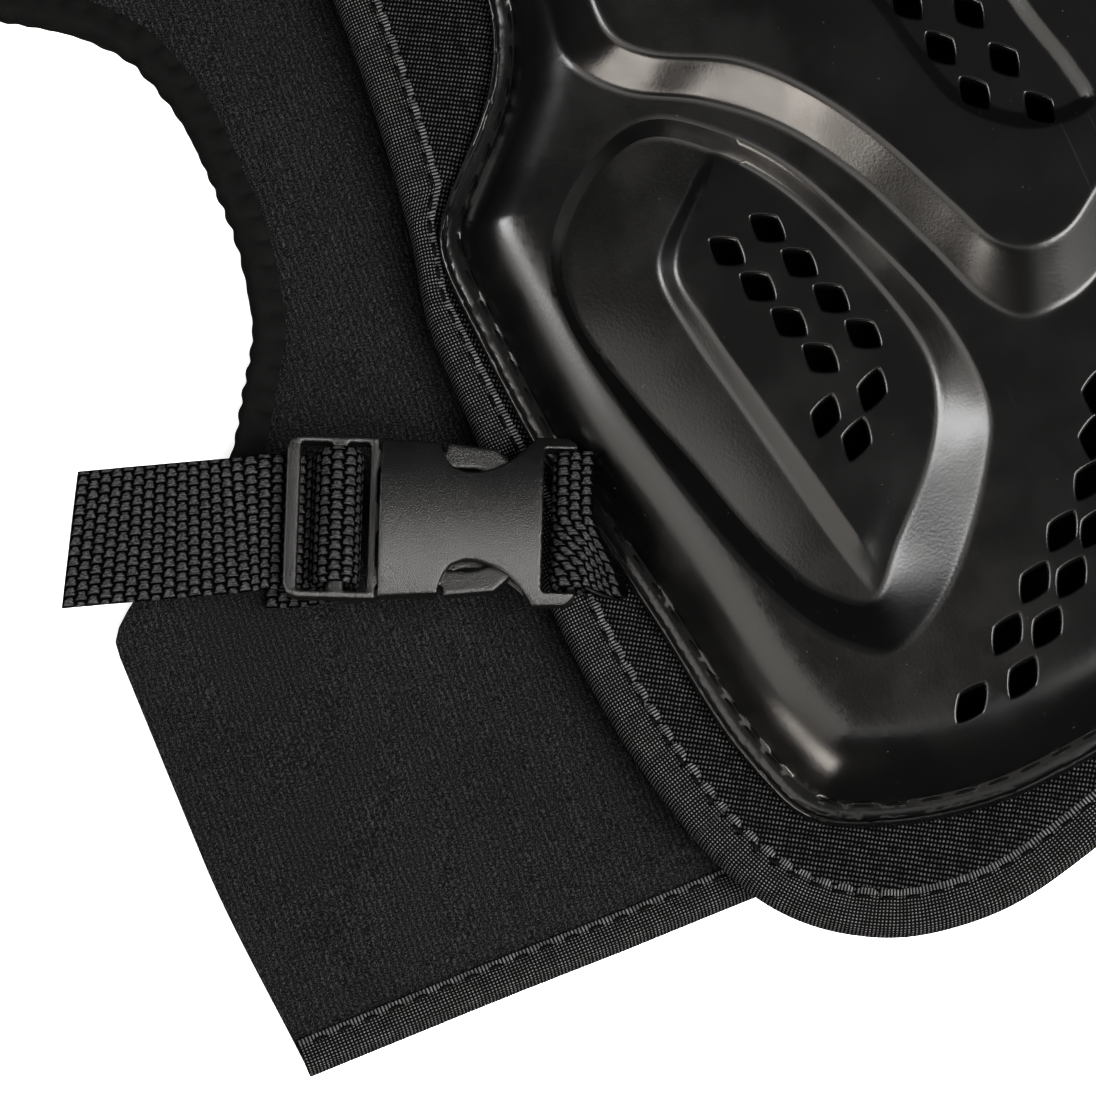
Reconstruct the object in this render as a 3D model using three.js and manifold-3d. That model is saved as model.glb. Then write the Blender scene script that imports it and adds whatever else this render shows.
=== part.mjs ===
// Motocross body armor: a padded vest lying on its back, front up. Millimetres, +Z up, +Y to the neck.
import * as THREE from "three";
import { mergeVertices } from "three/addons/utils/BufferGeometryUtils.js";
import Module from "manifold-3d";

const wasm = await Module();
wasm.setup();

// Sizes of the panels
const MIDDLE_Y = 66.75;
const FRONT_CREST = 48;
const FRONT_SAG = 34;
const FRONT_ROUND = 0.35;
const FRONT_HALF_WIDTH = 126;
const FRONT_DROOP = 4;
const FRONT_LEVEL_Y = 20;
const DROOP_LENGTH_DOWN = 110;
const DROOP_LENGTH_UP = 160;
const FRONT_HALF_THICK = 2;
const BACK_HALF_THICK = 2.5;
const WING_LIFT = 3;
const HEM_LIFT = 1.4;
const BACK_HEM_Y = -68;

// Sizes of the tapes folded round the edges
const TAPE_OUT = 1.6;
const TAPE_GAP = 0.6;
const TAPE_CLOTH = 0.6;
const FRONT_TAPE_IN = 2;
const BACK_TAPE_IN = 4.5;

// Sizes of the plate
const PLATE_GAP = 2.5;
const PLATE_THICK = 2;
const FLANGE = 5;
const BODY_RISE = 9;
const BODY_WALL = 13;
const BODY_ROUND = 2;
const CHEST_RISE = 6;
const POD_DEPTH = 4.5;
const ISLAND_RISE = 1.7;
const ISLAND_LOW_X = 54;
const ISLAND_HIGH_X = 84;
const RECESS_DEPTH = 1.6;
const HOLE_LONG = 3.8;
const HOLE_SHORT = 2.3;

// Sizes of the straps and buckles
const WEB_WIDTH = 25;
const WEB_THICK = 1.5;
const BUCKLE_X = 157.5;
const BUCKLE_Y = 18;
const BUCKLE_Z = 25.5;
const BUCKLE_TURN = THREE.MathUtils.degToRad(24);
const BUCKLE_TILT = THREE.MathUtils.degToRad(0);
const TAIL_BEND = THREE.MathUtils.degToRad(7);
const TAIL_BEND_START = 10;
const TAIL_END = 48;
const CUT_SLANT = 2.4;
const TAB_FALL = 7.4;
const TAB_REACH = 5;
const TAB_TURN = -44;
const SOCKET_HALF = 4.8;
const SOCKET_CROWN = 34;
const NOTCH_STEPS = 10;
const SHOULDER_HALF_THICK = 1.8;
const SHOULDER_Y = 196;

// Half widths and heights of the outlines, one row for each place along the edge
const FRONT_SIDE = [
  { y: -58, x: 119 },
  { y: -34, x: 124 },
  { y: -10, x: 126 },
  { y: 46, x: 126.4 },
  { y: 66, x: 122.6 },
  { y: 100, x: 119 },
  { y: 150, x: 117 },
  { y: 190, x: 110 },
];
const FRONT_HEM = [
  { x: 0, y: -76 },
  { x: 30, y: -80 },
  { x: 58, y: -88 },
  { x: 76, y: -91 },
  { x: 90, y: -89 },
  { x: 102, y: -83 },
  { x: 112, y: -73 },
  { x: 119, y: -58 },
];
const FRONT_TOP = [
  { x: 0, y: 160 },
  { x: 30, y: 165 },
  { x: 52, y: 188 },
  { x: 66, y: 204 },
  { x: 84, y: 208 },
  { x: 100, y: 203 },
  { x: 110, y: 190 },
];
const PLATE_SIDE = [
  { y: -60.5, x: 104 },
  { y: -43, x: 109 },
  { y: -22, x: 112 },
  { y: -3, x: 115.3 },
  { y: 17, x: 119.3 },
  { y: 45, x: 121.2 },
  { y: 54, x: 121.6 },
  { y: 59, x: 121.3 },
  { y: 63, x: 120 },
  { y: 67, x: 116.8 },
  { y: 75, x: 108.8 },
  { y: 82, x: 102.4 },
  { y: 88, x: 98.8 },
  { y: 98, x: 95.5 },
  { y: 150, x: 92 },
  { y: 178, x: 86 },
];
const PLATE_HEM = [
  { x: 0, y: -71 },
  { x: 30, y: -74 },
  { x: 54, y: -76 },
  { x: 66, y: -76.4 },
  { x: 80, y: -74.2 },
  { x: 92, y: -70 },
  { x: 100, y: -65.6 },
  { x: 104, y: -60.5 },
];
const PLATE_TOP = [
  { x: 0, y: 143 },
  { x: 30, y: 149 },
  { x: 50, y: 172 },
  { x: 60, y: 184 },
  { x: 70, y: 188 },
  { x: 80, y: 186 },
  { x: 86, y: 178 },
];
const BACK_SIDE = [
  { y: -68, x: 199 },
  { y: -25, x: 202 },
  { y: 16, x: 202 },
  { y: 26, x: 192 },
  { y: 39, x: 170 },
  { y: 50, x: 162.5 },
  { y: 65, x: 154.5 },
  { y: 85, x: 151.5 },
  { y: 102, x: 152 },
  { y: 119, x: 156 },
  { y: 129, x: 163.5 },
  { y: 138, x: 176 },
  { y: 147, x: 192 },
  { y: 160, x: 203 },
  { y: 185, x: 202 },
  { y: 206, x: 192 },
];
const BACK_TOP = [
  { x: 0, y: 196 },
  { x: 34, y: 200 },
  { x: 60, y: 216 },
  { x: 90, y: 226 },
  { x: 130, y: 226 },
  { x: 170, y: 219 },
  { x: 192, y: 206 },
];

// Outlines of the plate's relief on one half, each a smooth closed line through these points
const CHEST_FOOT = [
  { x: 87, y: 90 },
  { x: 88, y: 78 },
  { x: 82, y: 68.5 },
  { x: 70.5, y: 60 },
  { x: 60, y: 49 },
  { x: 51.5, y: 34 },
  { x: 45, y: 16 },
  { x: 40.5, y: 3 },
  { x: 35.5, y: -3 },
  { x: 27.5, y: -3.5 },
  { x: 20, y: -0.5 },
  { x: 0, y: 13 },
  { x: -60, y: 40 },
  { x: -60, y: 170 },
  { x: 60, y: 175 },
  { x: 82, y: 150 },
];
const CHEST_CREST = [
  { x: 81, y: 88 },
  { x: 80.5, y: 76 },
  { x: 76, y: 70 },
  { x: 63, y: 61 },
  { x: 54, y: 50 },
  { x: 46.5, y: 36 },
  { x: 40, y: 19.5 },
  { x: 36, y: 10 },
  { x: 32, y: 7 },
  { x: 24.5, y: 6.5 },
  { x: 17, y: 11 },
  { x: 0, y: 24 },
  { x: -50, y: 60 },
  { x: -50, y: 160 },
  { x: 52, y: 165 },
  { x: 75, y: 145 },
];
const POD_RIM = [
  { x: 78.5, y: 60.5 },
  { x: 85, y: 61.5 },
  { x: 97, y: 56 },
  { x: 104.5, y: 47 },
  { x: 106.5, y: 35 },
  { x: 104.5, y: 17 },
  { x: 97.5, y: -15.5 },
  { x: 92, y: -33.5 },
  { x: 87, y: -42 },
  { x: 79, y: -47.5 },
  { x: 66.5, y: -40.5 },
  { x: 51.5, y: -23 },
  { x: 47.5, y: -14.5 },
  { x: 48, y: 2.5 },
  { x: 55, y: 25 },
  { x: 62, y: 42 },
  { x: 70, y: 53 },
];
const POD_FLOOR = [
  { x: 79, y: 58.5 },
  { x: 84.5, y: 59.5 },
  { x: 95.5, y: 55 },
  { x: 102, y: 46.5 },
  { x: 103.5, y: 35 },
  { x: 99.5, y: 15.5 },
  { x: 95, y: 1 },
  { x: 90.5, y: -15.5 },
  { x: 87, y: -26.5 },
  { x: 83, y: -32 },
  { x: 77.5, y: -35.5 },
  { x: 70, y: -28 },
  { x: 59.5, y: -17.5 },
  { x: 54, y: -8 },
  { x: 52.5, y: 0.5 },
  { x: 57.5, y: 23.5 },
  { x: 64, y: 40.5 },
  { x: 71, y: 51 },
];
const ISLAND_FOOT = [
  { x: 68, y: 54.5 },
  { x: 79.5, y: 45.5 },
  { x: 87, y: 38.5 },
  { x: 88.5, y: 34.5 },
  { x: 87.5, y: 22.5 },
  { x: 85, y: 8.5 },
  { x: 80.5, y: -17 },
  { x: 77.5, y: -31 },
  { x: 75.5, y: -40 },
  { x: 40, y: -42 },
  { x: 40, y: 60 },
];
const ISLAND_TOP = [
  { x: 66, y: 54 },
  { x: 76.5, y: 45 },
  { x: 84, y: 37.5 },
  { x: 86, y: 32.5 },
  { x: 84.5, y: 21 },
  { x: 81.5, y: 5.5 },
  { x: 77, y: -18 },
  { x: 74.5, y: -31 },
  { x: 73, y: -39 },
  { x: 44, y: -38 },
  { x: 44, y: 58 },
];
const RECESS_RIM = [
  { x: 42, y: 72 },
  { x: 38.5, y: 60 },
  { x: 36, y: 47 },
  { x: 33, y: 36.5 },
  { x: 27.5, y: 29.5 },
  { x: 21.5, y: 25.5 },
  { x: 14, y: 24.5 },
  { x: 10, y: 26 },
  { x: 10.5, y: 34 },
  { x: 13.5, y: 47.5 },
  { x: 20, y: 100 },
  { x: 34, y: 112 },
  { x: 45, y: 100 },
];

// Rows of diamond holes on one half: first hole, step to the next, how many, lean of the long way from +Y outward
const HOLE_ROWS = [
  { x: 68.5, y: 33.5, stepX: -2.5, stepY: -8.4, count: 4, lean: 28 },
  { x: 76.5, y: 33, stepX: -2.4, stepY: -8.4, count: 4, lean: 28 },
  { x: 63.5, y: -1.5, stepX: 0, stepY: 0, count: 1, lean: -40 },
  { x: 72.5, y: -2, stepX: -3.2, stepY: -6.3, count: 2, lean: -40 },
  { x: 70, y: -60, stepX: 0, stepY: 0, count: 1, lean: -60 },
  { x: 60, y: -52, stepX: -7.6, stepY: 6, count: 4, lean: -54 },
  { x: 60.5, y: -60, stepX: -7, stepY: 6, count: 6, lean: -54 },
  { x: 33.5, y: -27.5, stepX: -3.6, stepY: 7, count: 2, lean: -30 },
  { x: 28.5, y: 36.5, stepX: 2, stepY: 10.2, count: 6, lean: 15 },
  { x: 19.5, y: 29, stepX: 2, stepY: 10.8, count: 6, lean: 15 },
];

// Smooth value between rows of a table, without overshoot
function tableValue(rows, at, key, value) {
  const last = rows.length - 1;
  if (at <= rows[0][key]) {
    return rows[0][value];
  }
  if (at >= rows[last][key]) {
    return rows[last][value];
  }
  let i = 0;
  while (at > rows[i + 1][key]) {
    i += 1;
  }
  const slope = (k) => {
    const step = (j) => (rows[j + 1][value] - rows[j][value]) / (rows[j + 1][key] - rows[j][key]);
    if (k === 0) {
      return step(0);
    }
    if (k === last) {
      return step(last - 1);
    }
    const before = step(k - 1);
    const after = step(k);
    return before * after <= 0 ? 0 : (2 * before * after) / (before + after);
  };
  const width = rows[i + 1][key] - rows[i][key];
  const t = (at - rows[i][key]) / width;
  const a = rows[i][value] * (1 + 2 * t) * (1 - t) ** 2;
  const b = rows[i + 1][value] * t * t * (3 - 2 * t);
  const c = slope(i) * width * t * (1 - t) ** 2;
  const d = slope(i + 1) * width * t * t * (t - 1);
  return a + b + c + d;
}

// Smooth step from 0 to 1
function ease(t) {
  const k = THREE.MathUtils.clamp(t, 0, 1);
  return k * k * (3 - 2 * k);
}

// Height of the middle of the arched front panel
function frontHeight(x, y) {
  const reach = y > FRONT_LEVEL_Y ? DROOP_LENGTH_UP : DROOP_LENGTH_DOWN;
  const droop = FRONT_DROOP * ((y - FRONT_LEVEL_Y) / reach) ** 2;
  const q = x / FRONT_HALF_WIDTH;
  const bow = FRONT_ROUND * q * q + (1 - FRONT_ROUND) * (0.5 - 0.5 * Math.cos(Math.PI * q));
  return FRONT_CREST - FRONT_SAG * bow - droop;
}

// Height of the middle of the back panel: flat, with the wings and the hem a little off the surface
function backHeight(x, y) {
  const wing = WING_LIFT * ease((Math.abs(x) - 110) / 60);
  const hem = HEM_LIFT * (1 - ease((y - BACK_HEM_Y) / 30));
  return BACK_HALF_THICK + Math.max(wing, hem);
}

// Place on a panel with u across from -1 to 1 and v from the hem to the neck
function panelPlace(side, hem, top) {
  const foot = side[0].x;
  const head = side[side.length - 1].x;
  return (u, v) => {
    const edgeY = THREE.MathUtils.lerp(side[0].y, side[side.length - 1].y, v);
    const low = hem(Math.abs(u) * foot);
    const high = top(Math.abs(u) * head);
    return { x: u * tableValue(side, edgeY, "y", "x"), y: THREE.MathUtils.lerp(low, high, v) };
  };
}
const frontPlace = panelPlace(
  FRONT_SIDE,
  (x) => tableValue(FRONT_HEM, x, "x", "y"),
  (x) => tableValue(FRONT_TOP, x, "x", "y"),
);
const platePlace = panelPlace(
  PLATE_SIDE,
  (x) => tableValue(PLATE_HEM, x, "x", "y"),
  (x) => tableValue(PLATE_TOP, x, "x", "y"),
);
const backPlace = panelPlace(
  BACK_SIDE,
  () => BACK_HEM_Y,
  (x) => tableValue(BACK_TOP, x, "x", "y"),
);

// Even steps from -1 to 1, drawn closer together near the ends
function acrossSteps(count, closeness) {
  return Array.from({ length: count + 1 }, (_, i) => {
    const t = (2 * i) / count - 1;
    return (1 - closeness) * t + closeness * Math.sin((Math.PI / 2) * t);
  });
}

// Box of cells whose corners are moved by a function of the cell lines and of the side, 0 under and 1 over
function cellSheet(across, along, move) {
  const nu = across.length - 1;
  const nv = along.length - 1;
  let shape = new THREE.BoxGeometry(nu, nv, 1, nu, nv, 1);
  shape.deleteAttribute("normal");
  shape.deleteAttribute("uv");
  shape = mergeVertices(shape, 1e-3);
  const spots = shape.getAttribute("position");
  for (let i = 0; i < spots.count; i += 1) {
    const u = across[Math.round(spots.getX(i) + nu / 2)];
    const v = along[Math.round(spots.getY(i) + nv / 2)];
    const p = move(u, v, spots.getZ(i) > 0 ? 1 : 0);
    spots.setXYZ(i, p.x, p.y, p.z);
  }
  return shape;
}

// Outline points of a panel, once round from the left end of the hem
function panelEdge(across, along, place) {
  const points = [];
  across.forEach((u) => points.push(place(u, along[0])));
  along.slice(1).forEach((v) => points.push(place(1, v)));
  across.slice(0, -1).reverse().forEach((u) => points.push(place(u, along[along.length - 1])));
  along.slice(1, -1).reverse().forEach((v) => points.push(place(-1, v)));
  return points;
}

// Tape folded round a panel edge: a channel carried along the edge points, closed in a ring or ended square
function edgeTape(points, closed, height, inside, panelHalf) {
  const slot = panelHalf + TAPE_GAP;
  const skin = slot + TAPE_CLOTH;
  const profile = [
    { out: -inside, up: skin },
    { out: TAPE_OUT, up: 0.9 * skin },
    { out: TAPE_OUT, up: -0.9 * skin },
    { out: -inside, up: -skin },
    { out: -inside, up: -slot },
    { out: TAPE_GAP, up: -slot },
    { out: TAPE_GAP, up: slot },
    { out: -inside, up: slot },
  ];
  const count = points.length;
  const spots = [];
  const faces = [];
  points.forEach((p, i) => {
    const before = points[closed ? (i + count - 1) % count : Math.max(i - 1, 0)];
    const after = points[closed ? (i + 1) % count : Math.min(i + 1, count - 1)];
    const way = new THREE.Vector2(after.x - before.x, after.y - before.y).normalize();
    profile.forEach((q) => {
      const x = p.x + way.y * q.out;
      const y = p.y - way.x * q.out;
      spots.push(x, y, height(x, y) + q.up);
    });
  });
  const n = profile.length;
  for (let i = 0; i < (closed ? count : count - 1); i += 1) {
    const j = (i + 1) % count;
    for (let k = 0; k < n; k += 1) {
      const m = (k + 1) % n;
      faces.push(i * n + k, i * n + m, j * n + k);
      faces.push(i * n + m, j * n + m, j * n + k);
    }
  }
  if (!closed) {
    const outline = profile.map((q) => new THREE.Vector2(q.out, q.up));
    const end = (count - 1) * n;
    THREE.ShapeUtils.triangulateShape(outline, []).forEach(([a, b, c]) => {
      const clockwise = THREE.ShapeUtils.area([outline[a], outline[b], outline[c]]) < 0;
      const [p, q, r] = clockwise ? [a, c, b] : [a, b, c];
      faces.push(p, q, r);
      faces.push(end + p, end + r, end + q);
    });
  }
  const shape = new THREE.BufferGeometry();
  shape.setAttribute("position", new THREE.Float32BufferAttribute(spots, 3));
  shape.setIndex(faces);
  return shape;
}

// Solid for joining and cutting
function solidOf(geometry) {
  const bare = geometry.clone();
  bare.deleteAttribute("normal");
  bare.deleteAttribute("uv");
  const merged = mergeVertices(bare, 1e-3);
  return new wasm.Manifold(
    new wasm.Mesh({
      numProp: 3,
      vertProperties: new Float32Array(merged.getAttribute("position").array),
      triVerts: new Uint32Array(merged.index.array),
    }),
  );
}

// Geometry of a solid
function geometryOf(solid) {
  const mesh = solid.getMesh();
  const shape = new THREE.BufferGeometry();
  shape.setAttribute("position", new THREE.BufferAttribute(new Float32Array(mesh.vertProperties), 3));
  shape.setIndex(new THREE.BufferAttribute(new Uint32Array(mesh.triVerts), 1));
  return shape;
}

// Smooth closed line through the rows of a table
function closedLine(rows) {
  const points = rows.map((row) => new THREE.Vector3(row.x, row.y, 0));
  return new THREE.CatmullRomCurve3(points, true, "centripetal").getPoints(rows.length * 4).slice(0, -1);
}

// Signed distance to a closed line, positive inside
function depthInside(line, x, y) {
  let near = Infinity;
  let inside = false;
  for (let i = 0, j = line.length - 1; i < line.length; j = i, i += 1) {
    const a = line[j];
    const b = line[i];
    const dx = b.x - a.x;
    const dy = b.y - a.y;
    const t = THREE.MathUtils.clamp(((x - a.x) * dx + (y - a.y) * dy) / (dx * dx + dy * dy), 0, 1);
    near = Math.min(near, Math.hypot(x - a.x - t * dx, y - a.y - t * dy));
    if (a.y > y !== b.y > y && x < a.x + ((y - a.y) / dy) * dx) {
      inside = !inside;
    }
  }
  return inside ? near : -near;
}

// Share of the way from an outer line to the inner line within it
function wallShare(outer, inner, x, y) {
  const fromOuter = depthInside(outer, x, y);
  const toInner = -depthInside(inner, x, y);
  if (fromOuter <= 0) {
    return 0;
  }
  return toInner <= 0 ? 1 : ease(fromOuter / (fromOuter + toInner));
}

const chestFoot = closedLine(CHEST_FOOT);
const chestCrest = closedLine(CHEST_CREST);
const podRim = closedLine(POD_RIM);
const podFloor = closedLine(POD_FLOOR);
const islandFoot = closedLine(ISLAND_FOOT);
const islandTop = closedLine(ISLAND_TOP);
const recessRim = closedLine(RECESS_RIM);
const plateOutline = panelEdge(acrossSteps(60, 0.4), acrossSteps(60, 0).map((t) => (t + 1) / 2), platePlace);

// Rise of the plate over its flange
function plateRise(x, y) {
  const side = Math.abs(x);
  const inset = THREE.MathUtils.clamp((depthInside(plateOutline, x, y) - FLANGE) / BODY_WALL, 0, 1);
  const body = BODY_RISE * (1 - (1 - inset) ** BODY_ROUND);
  const chest = CHEST_RISE * wallShare(chestFoot, chestCrest, side, y);
  const sunk = wallShare(podRim, podFloor, side, y);
  const slope = THREE.MathUtils.clamp((side - ISLAND_LOW_X) / (ISLAND_HIGH_X - ISLAND_LOW_X), 0, 1);
  const pod = POD_DEPTH * sunk;
  const island = ISLAND_RISE * sunk * slope * wallShare(islandFoot, islandTop, side, y);
  const recess = RECESS_DEPTH * ease(depthInside(recessRim, side, y) / 3);
  return body + chest - pod + island - recess;
}

// Height of the plate's underside
function plateHeight(x, y) {
  return frontHeight(x, y) + PLATE_GAP + plateRise(x, y);
}

// Chest plate with its diamond holes cut through
function chestPlate() {
  const across = acrossSteps(28, 0.4);
  const along = acrossSteps(26, 0.2).map((t) => (t + 1) / 2);
  const shell = cellSheet(across, along, (u, v, over) => {
    const p = platePlace(u, v);
    return { x: p.x, y: p.y, z: plateHeight(p.x, p.y) + over * PLATE_THICK };
  });
  const diamond = new THREE.Shape([
    new THREE.Vector2(0, HOLE_LONG),
    new THREE.Vector2(-HOLE_SHORT, 0),
    new THREE.Vector2(0, -HOLE_LONG),
    new THREE.Vector2(HOLE_SHORT, 0),
  ]);
  let solid = solidOf(shell);
  HOLE_ROWS.forEach((row) => {
    for (let i = 0; i < row.count; i += 1) {
      [-1, 1].forEach((hand) => {
        const x = hand * (row.x + i * row.stepX);
        const y = row.y + i * row.stepY;
        const cutter = new THREE.ExtrudeGeometry(diamond, { depth: 24, bevelEnabled: false });
        cutter.rotateZ(-hand * THREE.MathUtils.degToRad(row.lean));
        cutter.translate(x, y, plateHeight(x, y) - 10);
        solid = solid.subtract(solidOf(cutter));
      });
    }
  });
  return geometryOf(solid);
}

// Frame of one buckle: hand -1 on the wearer's right; along runs outward, over is the upper side
function buckleFrame(hand) {
  const along = new THREE.Vector3(hand * Math.cos(BUCKLE_TURN), Math.sin(BUCKLE_TURN), 0);
  const wide = new THREE.Vector3(-hand * Math.sin(BUCKLE_TURN), Math.cos(BUCKLE_TURN), 0);
  const over = new THREE.Vector3(0, 0, 1);
  const tilted = along.clone().multiplyScalar(Math.cos(BUCKLE_TILT)).addScaledVector(over, -Math.sin(BUCKLE_TILT));
  const normal = over.clone().multiplyScalar(Math.cos(BUCKLE_TILT)).addScaledVector(along, Math.sin(BUCKLE_TILT));
  const start = new THREE.Vector3(hand * BUCKLE_X, BUCKLE_Y, BUCKLE_Z);
  return { tilted, wide, normal, start };
}

// Turns the faces of a mirrored shape outward again
function turnFaces(shape) {
  const index = shape.index.array;
  for (let i = 0; i < index.length; i += 3) {
    [index[i + 1], index[i + 2]] = [index[i + 2], index[i + 1]];
  }
}

// Moves a geometry drawn as along, wide, over into the frame of a buckle
function intoBuckle(shape, hand) {
  const frame = buckleFrame(hand);
  const spots = shape.getAttribute("position");
  for (let i = 0; i < spots.count; i += 1) {
    const p = frame.start.clone();
    p.addScaledVector(frame.tilted, spots.getX(i));
    p.addScaledVector(frame.wide, spots.getY(i));
    p.addScaledVector(frame.normal, spots.getZ(i));
    spots.setXYZ(i, p.x, p.y, p.z);
  }
  if (hand < 0) {
    turnFaces(shape);
  }
  return shape;
}

// Band of webbing that follows a smooth path of along and over, square to its width
function webbing(path, width, steps, strips, bend) {
  const curve = new THREE.CatmullRomCurve3(
    path.map((row) => new THREE.Vector3(row.along, 0, row.over)),
    false,
    "centripetal",
  );
  const stops = Array.from({ length: steps + 1 }, (_, i) => i / steps);
  const lines = Array.from({ length: strips + 1 }, (_, i) => i / strips - 0.5);
  return cellSheet(stops, lines, (t, v, over) => {
    const spot = curve.getPointAt(t);
    const way = curve.getTangentAt(t);
    const lift = (over - 0.5) * WEB_THICK;
    const p = { x: spot.x - way.z * lift, y: v * width, z: spot.z + way.x * lift };
    return bend ? bend(p, t) : p;
  });
}

// Turn of the free strap end away from the buckle's own direction, with its slanted cut
function tailBend(p, t) {
  const past = p.x - TAIL_BEND_START;
  if (past <= 0 || t < 0.5) {
    return p;
  }
  const angle = -TAIL_BEND * ease(past / 8);
  const slant = CUT_SLANT * (p.y / WEB_WIDTH) * ease(past / (TAIL_END - TAIL_BEND_START));
  const reach = past - 2 * slant;
  return {
    x: TAIL_BEND_START + reach * Math.cos(angle) - p.y * Math.sin(angle),
    y: p.y * Math.cos(angle) + reach * Math.sin(angle),
    z: p.z,
  };
}

// Path of the strap: sewn leg on the wing, over the bar of the plug, under its end bar, then the free end
const STRAP_PATH = [
  { along: 13, over: -16 },
  { along: 7, over: -14.8 },
  { along: 1.5, over: -10.4 },
  { along: -2.6, over: -4.6 },
  { along: -3.4, over: -0.6 },
  { along: -1.8, over: 2.9 },
  { along: 1.8, over: 2.9 },
  { along: 3.6, over: 0.2 },
  { along: 5, over: -2.9 },
  { along: 8.2, over: -3.4 },
  { along: 14, over: -2.8 },
  { along: 30, over: -2.2 },
  { along: TAIL_END, over: -2 },
];

// Path of the tab: on the front panel, over the bar of the socket, through its slot and back under
const TAB_PATH = [
  { along: -45.2, over: 3.4 },
  { along: -44.2, over: 3.2 },
  { along: -42.5, over: 3 },
  { along: -39.7, over: 2.4 },
  { along: -38.5, over: 0 },
  { along: -39.7, over: -2.2 },
  { along: -42.2, over: -2.5 },
  { along: -43.9, over: -1.1 },
  { along: -44.6, over: 1.2 },
];

// Fall of the tab's lower corner onto the front panel
function tabFall(p) {
  const past = TAB_TURN - p.x;
  if (past <= 0) {
    return p;
  }
  const share = ease((2 - p.y) / 14.5);
  return {
    x: TAB_TURN - past * (1 + TAB_REACH * share),
    y: p.y,
    z: p.z - TAB_FALL * share * ease(past / 1.2),
  };
}

// Box between two corners in the frame of a buckle
function block(from, to, low, high, wideFrom, wideTo) {
  const shape = new THREE.BoxGeometry(to - from, wideTo - wideFrom, high - low);
  shape.translate((from + to) / 2, (wideFrom + wideTo) / 2, (low + high) / 2);
  return solidOf(shape);
}

// Plate of an outline given as along and wide, between two heights
function slab(points, low, high) {
  const shape = new THREE.Shape(points.map((p) => new THREE.Vector2(p.along, p.wide)));
  const solid = new THREE.ExtrudeGeometry(shape, { depth: high - low, bevelEnabled: false });
  solid.translate(0, 0, low);
  return solidOf(solid);
}

// Same outline with its mirror image across the long line of the buckle
function mirrored(half) {
  const other = half.map((p) => ({ along: p.along, wide: -p.wide }));
  return [...half, ...other.reverse()];
}

// Plug of the buckle: frame with a bar for the strap, a neck and two prongs
function bucklePlug(hand) {
  const rim = [
    { along: -7, wide: 15 },
    { along: 7, wide: 15 },
    { along: 8.7, wide: 14.3 },
    { along: 9.4, wide: 12.6 },
  ];
  const frame = slab(mirrored(rim), -1.6, 1.6);
  const outerSlot = block(1.3, 7, -3, 3, -13.7, 13.7);
  const innerSlot = block(-5.5, -1.3, -3, 3, -13.7, 13.7);
  const guide = block(-24, -6, -1.4, 1.4, -2.6, 2.6);
  const prong = slab(
    [
      { along: -6, wide: 12.6 },
      { along: -18.7, wide: 12.4 },
      { along: -19.2, wide: 14.2 },
      { along: -28, wide: 13.2 },
      { along: -32, wide: 9.4 },
      { along: -31, wide: 7.2 },
      { along: -24, wide: 9.4 },
      { along: -6, wide: 9.2 },
    ],
    -1.4,
    1.4,
  );
  const other = prong.mirror([0, 1, 0]);
  const solid = frame.subtract(outerSlot).subtract(innerSlot).add(guide).add(prong).add(other);
  return intoBuckle(geometryOf(solid), hand);
}

// Socket of the buckle: a crowned body, open at the mouth and at both sides, with a bar for the tab
function buckleSocket(hand) {
  const notch = [
    { along: -18, wide: 14 },
    { along: -18.8, wide: 11 },
    { along: -21, wide: 8.6 },
    { along: -25, wide: 8.2 },
    { along: -29, wide: 9.6 },
    { along: -32.5, wide: 12.4 },
    { along: -35, wide: 15.7 },
  ];
  const round = new THREE.CatmullRomCurve3(notch.map((p) => new THREE.Vector3(p.along, p.wide, 0)));
  const half = [
    { along: -7.4, wide: 14.6 },
    ...round.getPoints(NOTCH_STEPS).map((p) => ({ along: p.x, wide: p.y })),
    { along: -40.6, wide: 15.5 },
    { along: -42.3, wide: 14.2 },
  ];
  const body = slab(mirrored(half), -SOCKET_HALF, SOCKET_HALF);
  const top = new THREE.CylinderGeometry(SOCKET_CROWN, SOCKET_CROWN, 60, 80);
  top.rotateZ(Math.PI / 2).translate(-24, 0, SOCKET_HALF - SOCKET_CROWN);
  const base = new THREE.CylinderGeometry(SOCKET_CROWN, SOCKET_CROWN, 60, 40);
  base.rotateZ(Math.PI / 2).translate(-24, 0, SOCKET_CROWN - SOCKET_HALF);
  const hollow = block(-34.5, -6, -1.9, 1.9, -13, 13);
  const openSides = block(-33, -18.4, -1.9, 1.9, -18, 18);
  const slot = block(-40.9, -36.4, -6, 6, -13.2, 13.2);
  const overBar = block(-46, -40.5, 1.1, 6, -13.2, 13.2);
  const underBar = block(-46, -40.5, -6, -1.1, -13.2, 13.2);
  const thinEnd = block(-46, -34.8, -6, -2.2, -18, 18);
  const shell = body.intersect(solidOf(top)).intersect(solidOf(base)).subtract(thinEnd);
  const opened = shell.subtract(hollow).subtract(openSides);
  const solid = opened.subtract(slot).subtract(overBar).subtract(underBar);
  return intoBuckle(geometryOf(solid), hand);
}

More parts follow.
